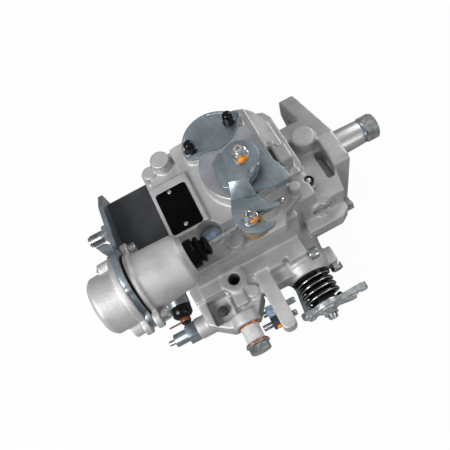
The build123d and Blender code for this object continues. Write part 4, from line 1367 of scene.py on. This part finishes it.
@dataclass
class ColdStart:
    """The cold-start lever with its shaft, spring and nut."""

    body: str = "cold_start"
    x: float = -72.0
    z: float = -30.0
    face: float = 94.0
    # Torsion spring of flattened wire, with a thin bright wire along its coils as a painted
    # highlight on their edge
    coils: float = 4.0
    pitch: float = 5.6
    radius: float = 15.4
    wire: float = 2.4
    wire_flat: float = 0.82
    highlight_wire: float = 0.55
    spring_gap: float = 2.6
    seat_form: Stations = ((0.0, 18.4), (2.4, 18.4), (2.8, 17.6), (2.8, 11.0), (26.0, 11.0))
    # Strip that the spring hooks on, seen from above
    strip: Outline = ((-89.8, -97.1), (-84.3, -99.1), (-86.3, -119.2), (-93.6, -124.5))
    strip_low: float = -25.5
    strip_high: float = -24.0
    # Nut on the shaft's drilled and threaded end
    nut_flats: float = 13.0
    nut_turn: float = 10.0
    end_length: float = 9.8
    end_radius: float = 4.8
    end_bore: Stations = ((6.0, 2.6), (12.0, 2.6))
    # Star lever: hub, bosses and drilled holes in its arms as x, z and radius, and a rib
    star_cell: float = 0.5
    hub_start: float = 120.6
    hub_form: Stations = ((0.0, 10.5), (6.6, 10.5), (7.4, 9.6))
    boss_start: float = 120.8
    bosses: tuple[Point, ...] = ((-37.5, -25.0, 4.2), (-91.0, -27.0, 5.0), (-88.0, -40.0, 3.6))
    boss_height: float = 6.6
    boss_edge: float = 0.6
    rib: Box = ((-63.0, -127.3, -29.5), (-42.0, -121.5, -26.8))
    rib_edge: float = 0.5
    holes: tuple[Point, ...] = ((-91.0, -27.0, 2.6), (-88.0, -40.0, 1.6))
    hole_start: float = 118.0
    hole_length: float = 12.0

    def build(self) -> None:
        """Builds and dresses the pieces."""
        self.spring()
        strip = plate("hook_strip", self.strip, self.strip_low, self.strip_high, 0.6, 0.4)
        dress(strip, ZINC_PLATE, "housing")
        self.star()
        self.fastener()
        dress(eased("cold_shaft", "cold_start_shaft", 0.4), MACHINED, self.body, "cold_shaft")

    def on_axis(self, distance: float) -> Point:
        """Gives the point on the shaft's axis so far to the side of the drive shaft."""
        return (self.x, -distance, self.z)

    def spring(self) -> None:
        """Winds the torsion spring and a bright wire beside it as a painted highlight on its edge,
        on the black seat.
        """
        start = self.face + self.spring_gap
        spring = wire_coil(
            "torsion_spring", self.radius, self.wire, self.pitch, self.coils, self.wire_flat
        )
        placed(spring, self.on_axis(start), Axis.MINUS_Y)
        dress(spring, BLACK_SPRING, "housing", "cold_spring")
        # A thin bright zinc wire beside the coils stands for the highlight on their edge
        highlight_radius = self.radius + self.wire * 0.9
        edge = wire_coil("painted_spring_highlight", highlight_radius, self.highlight_wire, self.pitch, self.coils)
        dress(placed(edge, self.on_axis(start + 1.0), Axis.MINUS_Y), BRIGHT_ZINC, "housing")
        seat = turned("spring_seat", self.seat_form, 48)
        dress(placed(seat, self.on_axis(self.face), Axis.MINUS_Y), BLACK_NYLON, "housing")

    def star(self) -> None:
        """Casts the star lever with a hub boss, ribs and a drilled arm end."""
        hub = turned("hub", self.hub_form, 40)
        extras = [placed(hub, self.on_axis(self.hub_start), Axis.MINUS_Y)]
        shoulder = self.boss_height - self.boss_edge
        for x, z, radius in self.bosses:
            form = ((0.0, radius), (shoulder, radius), (self.boss_height, radius - self.boss_edge))
            boss = turned("arm_boss", form, 28)
            extras.append(placed(boss, (x, -self.boss_start, z), Axis.MINUS_Y))
        extras.append(slab("arm_rib", *self.rib, self.rib_edge))
        piece = soft_casting("cold_lever", "star_lever", self.star_cell, 2, extras)
        for x, z, radius in self.holes:
            drill = turned("drill", ((0.0, radius), (self.hole_length, radius)), 24)
            cut(piece, placed(drill, (x, -self.hole_start, z), Axis.MINUS_Y))
        dress(piece, ZINC_CAST, self.body, "cold_lever")

    def fastener(self) -> None:
        """Sets the nut on the threaded end of the shaft."""
        low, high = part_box("cold_nut")
        nut = hex_head("cold_start_nut", self.nut_flats, (high.y - low.y) / MM, self.nut_turn)
        end = threaded("cold_start_thread", 0.0, self.end_length, self.end_radius, 1.0)
        cut(end, turned("cold_start_bore", self.end_bore, 24))
        both = joined("cold_start_fastener", [nut, end])
        placed(both, (self.x, high.y / MM, self.z), Axis.MINUS_Y)
        dress(both, BRIGHT_ZINC, self.body, "cold_nut")


@dataclass
class StopScrews:
    """The two stop screws in the cast arm with their lock nuts."""

    body: str = "housing"
    # Screws in the arm: how far to the side, start and end along X
    rows: tuple[Point, ...] = ((-109.0, -126.4, -95.0), (-119.5, -131.0, -98.5))
    level: float = -11.0
    thread_radius: float = 2.9
    nut_start: float = -122.5
    nut_flats: float = 10.0
    nut_height: float = 6.5
    nut_turn: float = 30.0
    dab: Point = (-117.2, -123.9, -9.5)
    dab_reach: Point = (3.2, 1.8, 2.6)

    def build(self) -> None:
        """Threads the screws, dresses the two lock nuts and paints one of them."""
        made = []
        for number, (y, start, end) in enumerate(self.rows):
            screw = threaded(f"stop_screw_{number}", 0.0, end - start, self.thread_radius, 1.0)
            made.append(placed(screw, (start, y, self.level), Axis.X))
        dress(joined("stop_screw_threads", made), BRIGHT_ZINC, self.body, "stop_screws")
        for (y, _, _), finish in zip(self.rows, (BLUE_ZINC, BLACK_STEEL)):
            nut = hex_head("lock_nut", self.nut_flats, self.nut_height, self.nut_turn)
            nut.name = f"lock_nut_{finish.slot}"
            dress(placed(nut, (self.nut_start, y, self.level), Axis.X), finish, self.body)
        dress(paint_dab("stop_paint", self.dab, self.dab_reach), SEAL_PAINT, self.body)


@dataclass
class Inlet:
    """The fuel inlet: copper washers, transport sleeve and banjo bolt."""

    body: str = "housing"
    x: float = -141.0
    z: float = -10.0
    face: float = 111.0
    washer: float = 1.5
    washer_form: Stations = ((0.0, 10.0), (0.35, 10.5), (1.15, 10.5), (1.5, 10.0))
    sleeve: float = 14.0
    sleeve_form: Stations = (
        (0.0, 8.8), (1.2, 8.8), (1.6, 8.3), (12.4, 8.3), (12.8, 8.8), (14.0, 8.8)
    )
    # Head of the banjo bolt: a hexagon on a round flange
    flange: float = 1.5
    flange_form: Stations = ((0.0, 10.6), (0.3, 11.0), (1.2, 11.0), (1.5, 10.6))
    head_flats: float = 17.0
    head_turn: float = 10.0

    def build(self) -> None:
        """Builds and dresses the pieces."""
        made = []
        for start in (0.0, self.washer + self.sleeve):
            ring = turned("ring", self.washer_form, 48)
            made.append(placed(ring, self.on_axis(self.face + start), Axis.MINUS_Y))
        dress(joined("copper_rings", made), COPPER, self.body, "copper_washers")
        sleeve = turned("sleeve", self.sleeve_form, 48)
        placed(sleeve, self.on_axis(self.face + self.washer), Axis.MINUS_Y)
        dress(sleeve, MILKY_SLEEVE, self.body, "transport_sleeve")
        self.banjo_head(self.face + 2 * self.washer + self.sleeve)

    def on_axis(self, distance: float) -> Point:
        """Gives the point on the inlet's axis so far to the side of the drive shaft."""
        return (self.x, -distance, self.z)

    def banjo_head(self, start: float) -> None:
        """Makes the head of the banjo bolt.

        Args:
            start: Where its flange starts on the inlet's axis.
        """
        flange = turned("flange", self.flange_form, 48)
        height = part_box("banjo_bolt")[0].y / -MM - start - self.flange
        head = hex_head("head", self.head_flats, height, self.head_turn)
        head.data.transform(Matrix.Translation((0, 0, self.flange * MM)))
        bolt = placed(joined("banjo_head", [flange, head]), self.on_axis(start), Axis.MINUS_Y)
        dress(bolt, BRIGHT_ZINC, self.body, "banjo_bolt")


@dataclass
class SmallFittings:
    """Nipple, solenoid, plugs and small bolts on the castings."""

    body: str = "housing"
    # Slotted plug: place of its thread's end, with the dark joint and the plug in front of it
    plug: Point = (-36.0, -55.0, 10.0)
    joint_front: float = 2.8
    joint_form: Stations = ((0.0, 9.6), (0.5, 9.6))
    plug_front: float = 3.0
    plug_form: Stations = ((0.0, 8.7), (2.4, 8.7), (3.2, 7.9))
    plug_slot: Box = ((-10.0, -1.2, 1.4), (10.0, 1.2, 5.0))
    # The bolt in the window pocket lies behind this X
    pocket_x: float = -110.0
    # Threaded sleeve in the bracket's hole, dark grey as painted shade
    bracket_bore: Point = (-134.0, -71.0, -34.2)
    sleeve_form: Stations = ((0.0, 5.8), (34.0, 5.8))
    bore_radius: float = 5.35
    bore_pitch: float = 1.5
    # Ball plug: black seat ring and ball
    ball_plug: Point = (-38.7, -37.0, 33.6)
    seat_form: Stations = ((0.0, 4.6), (2.4, 4.6), (2.8, 4.2))
    seat_bore: Stations = ((1.4, 3.2), (3.0, 3.4))
    ball_radius: float = 2.7
    ball_rise: float = 1.4
    # Solenoid's cap with its terminal and wire
    cap_x: float = -189.0
    cap_z: float = -8.0
    cap_form: Stations = (
        (0.0, 9.2), (1.0, 9.6), (7.0, 9.2), (9.0, 7.6), (10.0, 5.2), (10.4, 4.4), (15.0, 4.4),
        (16.0, 3.4),
    )
    wire_start: float = 13.0
    wire_form: Stations = ((0.0, 0.8), (16.0, 0.8), (16.4, 0.5))
    resin_form: Stations = ((10.6, 4.6), (11.2, 5.0), (13.6, 5.0), (14.4, 4.5))

    def build(self) -> None:
        """Builds and dresses the pieces."""
        nipple = eased("return_nipple", "leak_off_nipple", 0.5)
        dress(nipple, ZINC_PLATE, self.body, "return_nipple")
        solenoid = eased("shutoff_solenoid", "solenoid_body", 0.6)
        dress(solenoid, ZINC_PLATE, self.body, "shutoff_solenoid")
        self.slotted_plug()
        self.bolts()
        self.bores()
        self.terminal()

    def slotted_plug(self) -> None:
        """Turns the big slotted plug in its dark joint."""
        x, face, z = self.plug
        joint = placed(
            turned("plug_joint", self.joint_form, 56), (x, face + self.joint_front, z), Axis.MINUS_Y
        )
        dress(joint, THREAD_SHADE_AND_JOINT, self.body)
        plug = turned("slotted_plug", self.plug_form, 56)
        cut(plug, slab("plug_slot", *self.plug_slot))
        smooth_by_angle(plug)
        placed(plug, (x, face + self.plug_front, z), Axis.MINUS_Y)
        dress(plug, ZINC_CAST, self.body, "screw_plugs")

    def bolts(self) -> None:
        """Eases the small bolts; the one in the window pocket gets blackened steel, whose darkness
        is painted shade of the pocket.
        """
        # The pocket bolt's dark finish is painted shade of the pocket
        for name, finish, in_pocket in (
            ("side_bolt_heads", BRIGHT_ZINC, False),
            ("shaded_pocket_bolt_head", BLACK_STEEL, True),
        ):
            piece = eased("side_bolts", name, 0.5)
            clear_selection(piece)
            for vertex in piece.data.vertices:
                vertex.select = (vertex.co.x < self.pocket_x * MM) != in_pocket
            bpy.ops.object.mode_set(mode="EDIT")
            bpy.ops.mesh.select_mode(type="VERT")
            bpy.ops.mesh.delete(type="VERT")
            bpy.ops.object.mode_set(mode="OBJECT")
            dress(piece, finish, self.body, *(() if in_pocket else ("side_bolts",)))

    def bores(self) -> None:
        """Cuts the thread of the bracket hole, dark grey as painted shade, and seats the ball plug
        with its black ring.
        """
        sleeve = turned("bore_sleeve", self.sleeve_form, 40)
        end = self.sleeve_form[-1][0] + 2 * OVERCUT
        cut(sleeve, threaded("bore_thread", -1.5, end, self.bore_radius, self.bore_pitch))
        # The sleeve's dark grey is painted shade inside the bore
        dress(placed(sleeve, self.bracket_bore, Axis.Z), THREAD_SHADE_AND_JOINT, self.body)
        seat = turned("ball_seat", self.seat_form, 36)
        cut(seat, turned("ball_bore", self.seat_bore, 36))
        dress(placed(seat, self.ball_plug, Axis.Z), BLACK_NYLON, self.body)
        deselect()
        bpy.ops.mesh.primitive_uv_sphere_add(
            segments=32, ring_count=16, radius=self.ball_radius * MM
        )
        ball = bpy.context.object
        ball.name = "plug_ball"
        x, y, z = self.ball_plug
        ball.data.transform(Matrix.Translation(metres((x, y, z + self.ball_rise))))
        smooth_by_angle(ball, 60)
        dress(ball, MACHINED, self.body)

    def terminal(self) -> None:
        """Moulds the solenoid's cap and leads the lacquered wire out of its resin."""
        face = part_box("solenoid_cap")[1].y / MM
        origin = (self.cap_x, face, self.cap_z)
        cap = turned("terminal_cap", self.cap_form, 40)
        dress(placed(cap, origin, Axis.MINUS_Y), BLACK_NYLON, self.body, "solenoid_cap")
        wire = turned("terminal_wire", self.wire_form, 16)
        placed(wire, (self.cap_x, face - self.wire_start, self.cap_z), Axis.MINUS_X)
        resin = placed(turned("terminal_resin", self.resin_form, 32), origin, Axis.MINUS_Y)
        dress(joined("terminal_lacquer", [wire, resin]), RED_WIRE, self.body)


@dataclass(frozen=True)
class Softbox:
    """A square soft light that is aimed at the pump.

    Args:
        name: The light's name.
        place: Where it hangs, in metres.
        power: Its power in watts.
        size: Its side in metres.
    """

    name: str
    place: Point
    power: float
    size: float = 0.4

    def hang(self, aim: Point) -> None:
        """Hangs the light.

        Args:
            aim: What it points at, in millimetres.
        """
        data = bpy.data.lights.new(self.name, "AREA")
        data.size = self.size
        data.energy = self.power
        lamp = bpy.data.objects.new(self.name, data)
        bpy.context.scene.collection.objects.link(lamp)
        lamp.location = self.place
        way = Vector(aim) * MM - Vector(self.place)
        lamp.rotation_euler = way.to_track_quat("-Z", "Y").to_euler()


@dataclass
class Studio:
    """Floor, light and camera."""

    # Floor: how far under the pump, its side in metres, tone, and the white the camera sees
    floor_drop: float = 14.0
    floor_side: float = 8.0
    floor_tone: str = "8c8c8c"
    floor_roughness: float = 0.9
    floor_glow: float = 1.04
    glow_share: float = 0.93
    # Room: light from below and from above, and the heights between which it grades
    room_low: float = 0.06
    room_high: float = 0.45
    grade_low: float = -0.2
    grade_high: float = 0.9
    lamps: tuple[Softbox, ...] = (
        Softbox("key_softbox", (-0.7, -0.3, 0.6), 7.5),
        Softbox("front_softbox", (0.35, -0.8, 0.35), 1.3),
        Softbox("rim_softbox", (0.75, 0.45, 0.5), 5.0),
    )
    # Camera: tilt from straight down, roll, aim and distance in millimetres, and its lens
    tilt: float = 25.6
    roll: float = 28.0
    aim: Point = (-118.6, -16.2, -7.8)
    distance: float = 454.0
    lens: float = 38.4
    sensor: float = 36.0

    def build(self) -> None:
        """Sets up the stage."""
        self.floor()
        self.world()
        for lamp in self.lamps:
            lamp.hang(self.aim)
        self.camera()

    def floor(self) -> None:
        """Lays a plain white floor that keeps a soft shadow."""
        deselect()
        level = cad_low.z - self.floor_drop * MM
        bpy.ops.mesh.primitive_plane_add(size=self.floor_side, location=(0, 0, level))
        plane = bpy.context.object
        plane.name = "studio_floor"
        paper = bpy.data.materials.new("white_paper_floor")
        paper.use_nodes = True
        tree = paper.node_tree
        shader = tree.nodes["Principled BSDF"]
        shader.inputs["Base Color"].default_value = linear(self.floor_tone)
        shader.inputs["Roughness"].default_value = self.floor_roughness
        glow = add_node(
            tree, "ShaderNodeEmission", sockets={"Color": WHITE, "Strength": self.floor_glow}
        )
        path = add_node(tree, "ShaderNodeLightPath")
        share = add_node(
            tree, "ShaderNodeMath", settings={"operation": "MULTIPLY"},
            sockets={1: self.glow_share}, links={0: path.outputs["Is Camera Ray"]},
        )
        mix = add_node(
            tree, "ShaderNodeMixShader",
            links={0: share.outputs[0], 1: shader.outputs[0], 2: glow.outputs[0]},
        )
        tree.links.new(mix.outputs[0], tree.nodes["Material Output"].inputs["Surface"])
        plane.data.materials.append(paper)

    def world(self) -> None:
        """Grades the room from a dim floor to a pale ceiling, on a white background."""
        world = bpy.data.worlds.new("studio_room")
        world.use_nodes = True
        tree = world.node_tree
        back = tree.nodes["Background"]
        back.inputs["Color"].default_value = WHITE
        direction = add_node(tree, "ShaderNodeTexCoord")
        height = add_node(
            tree, "ShaderNodeSeparateXYZ", links={"Vector": direction.outputs["Generated"]}
        )
        level = add_node(
            tree,
            "ShaderNodeMapRange",
            sockets={
                "From Min": self.grade_low,
                "From Max": self.grade_high,
                "To Min": self.room_low,
                "To Max": self.room_high,
            },
            links={"Value": height.outputs["Z"]},
        )
        tree.links.new(level.outputs["Result"], back.inputs["Strength"])
        bright = add_node(tree, "ShaderNodeBackground", sockets={"Color": WHITE, "Strength": 1.0})
        path = add_node(tree, "ShaderNodeLightPath")
        mix = add_node(
            tree, "ShaderNodeMixShader",
            links={0: path.outputs["Is Camera Ray"], 1: back.outputs[0], 2: bright.outputs[0]},
        )
        tree.links.new(mix.outputs[0], tree.nodes["World Output"].inputs["Surface"])
        bpy.context.scene.world = world

    def camera(self) -> None:
        """Places the camera at the photograph's viewing angle."""
        tilt = radians(self.tilt)
        roll = radians(self.roll)
        back = Vector((0, -sin(tilt), cos(tilt)))
        side = Vector((1, 0, 0))
        down = Vector((0, -cos(tilt), -sin(tilt)))
        right = side * cos(roll) + down * sin(roll)
        up = side * sin(roll) - down * cos(roll)
        data = bpy.data.cameras.new("photo_camera")
        data.lens = self.lens
        data.sensor_width = self.sensor
        data.clip_start = 0.01
        camera = bpy.data.objects.new("photo_camera", data)
        bpy.context.scene.collection.objects.link(camera)
        turn = Matrix((right, up, back)).transposed().to_4x4()
        spot = (Vector(self.aim) + back * self.distance) * MM
        camera.matrix_world = Matrix.Translation(spot) @ turn
        bpy.context.scene.camera = camera


def dress_cad_nodes() -> None:
    """Gives every CAD node the finish of its slot, also those that nothing replaces."""
    for row in frame["record"]["subparts"]:
        node = frame["nodes"][row["node"]]
        finish = SLOT_FINISH[row["material_slot"]]
        node.data.materials.clear()
        node.data.materials.append(finish.material())


def main() -> None:
    """Builds the sub-assemblies in order."""
    logging.basicConfig(level=logging.INFO, format="%(message)s")
    bpy.context.scene.view_settings.view_transform = "Standard"
    dress_cad_nodes()
    for part in (
        Castings(),
        CoverTop(),
        HeadAndPipes(),
        Actuator(),
        Throttle(),
        DriveEnd(),
        ColdStart(),
        StopScrews(),
        Inlet(),
        SmallFittings(),
        Studio(),
    ):
        part.build()


if __name__ == "__main__":
    main()
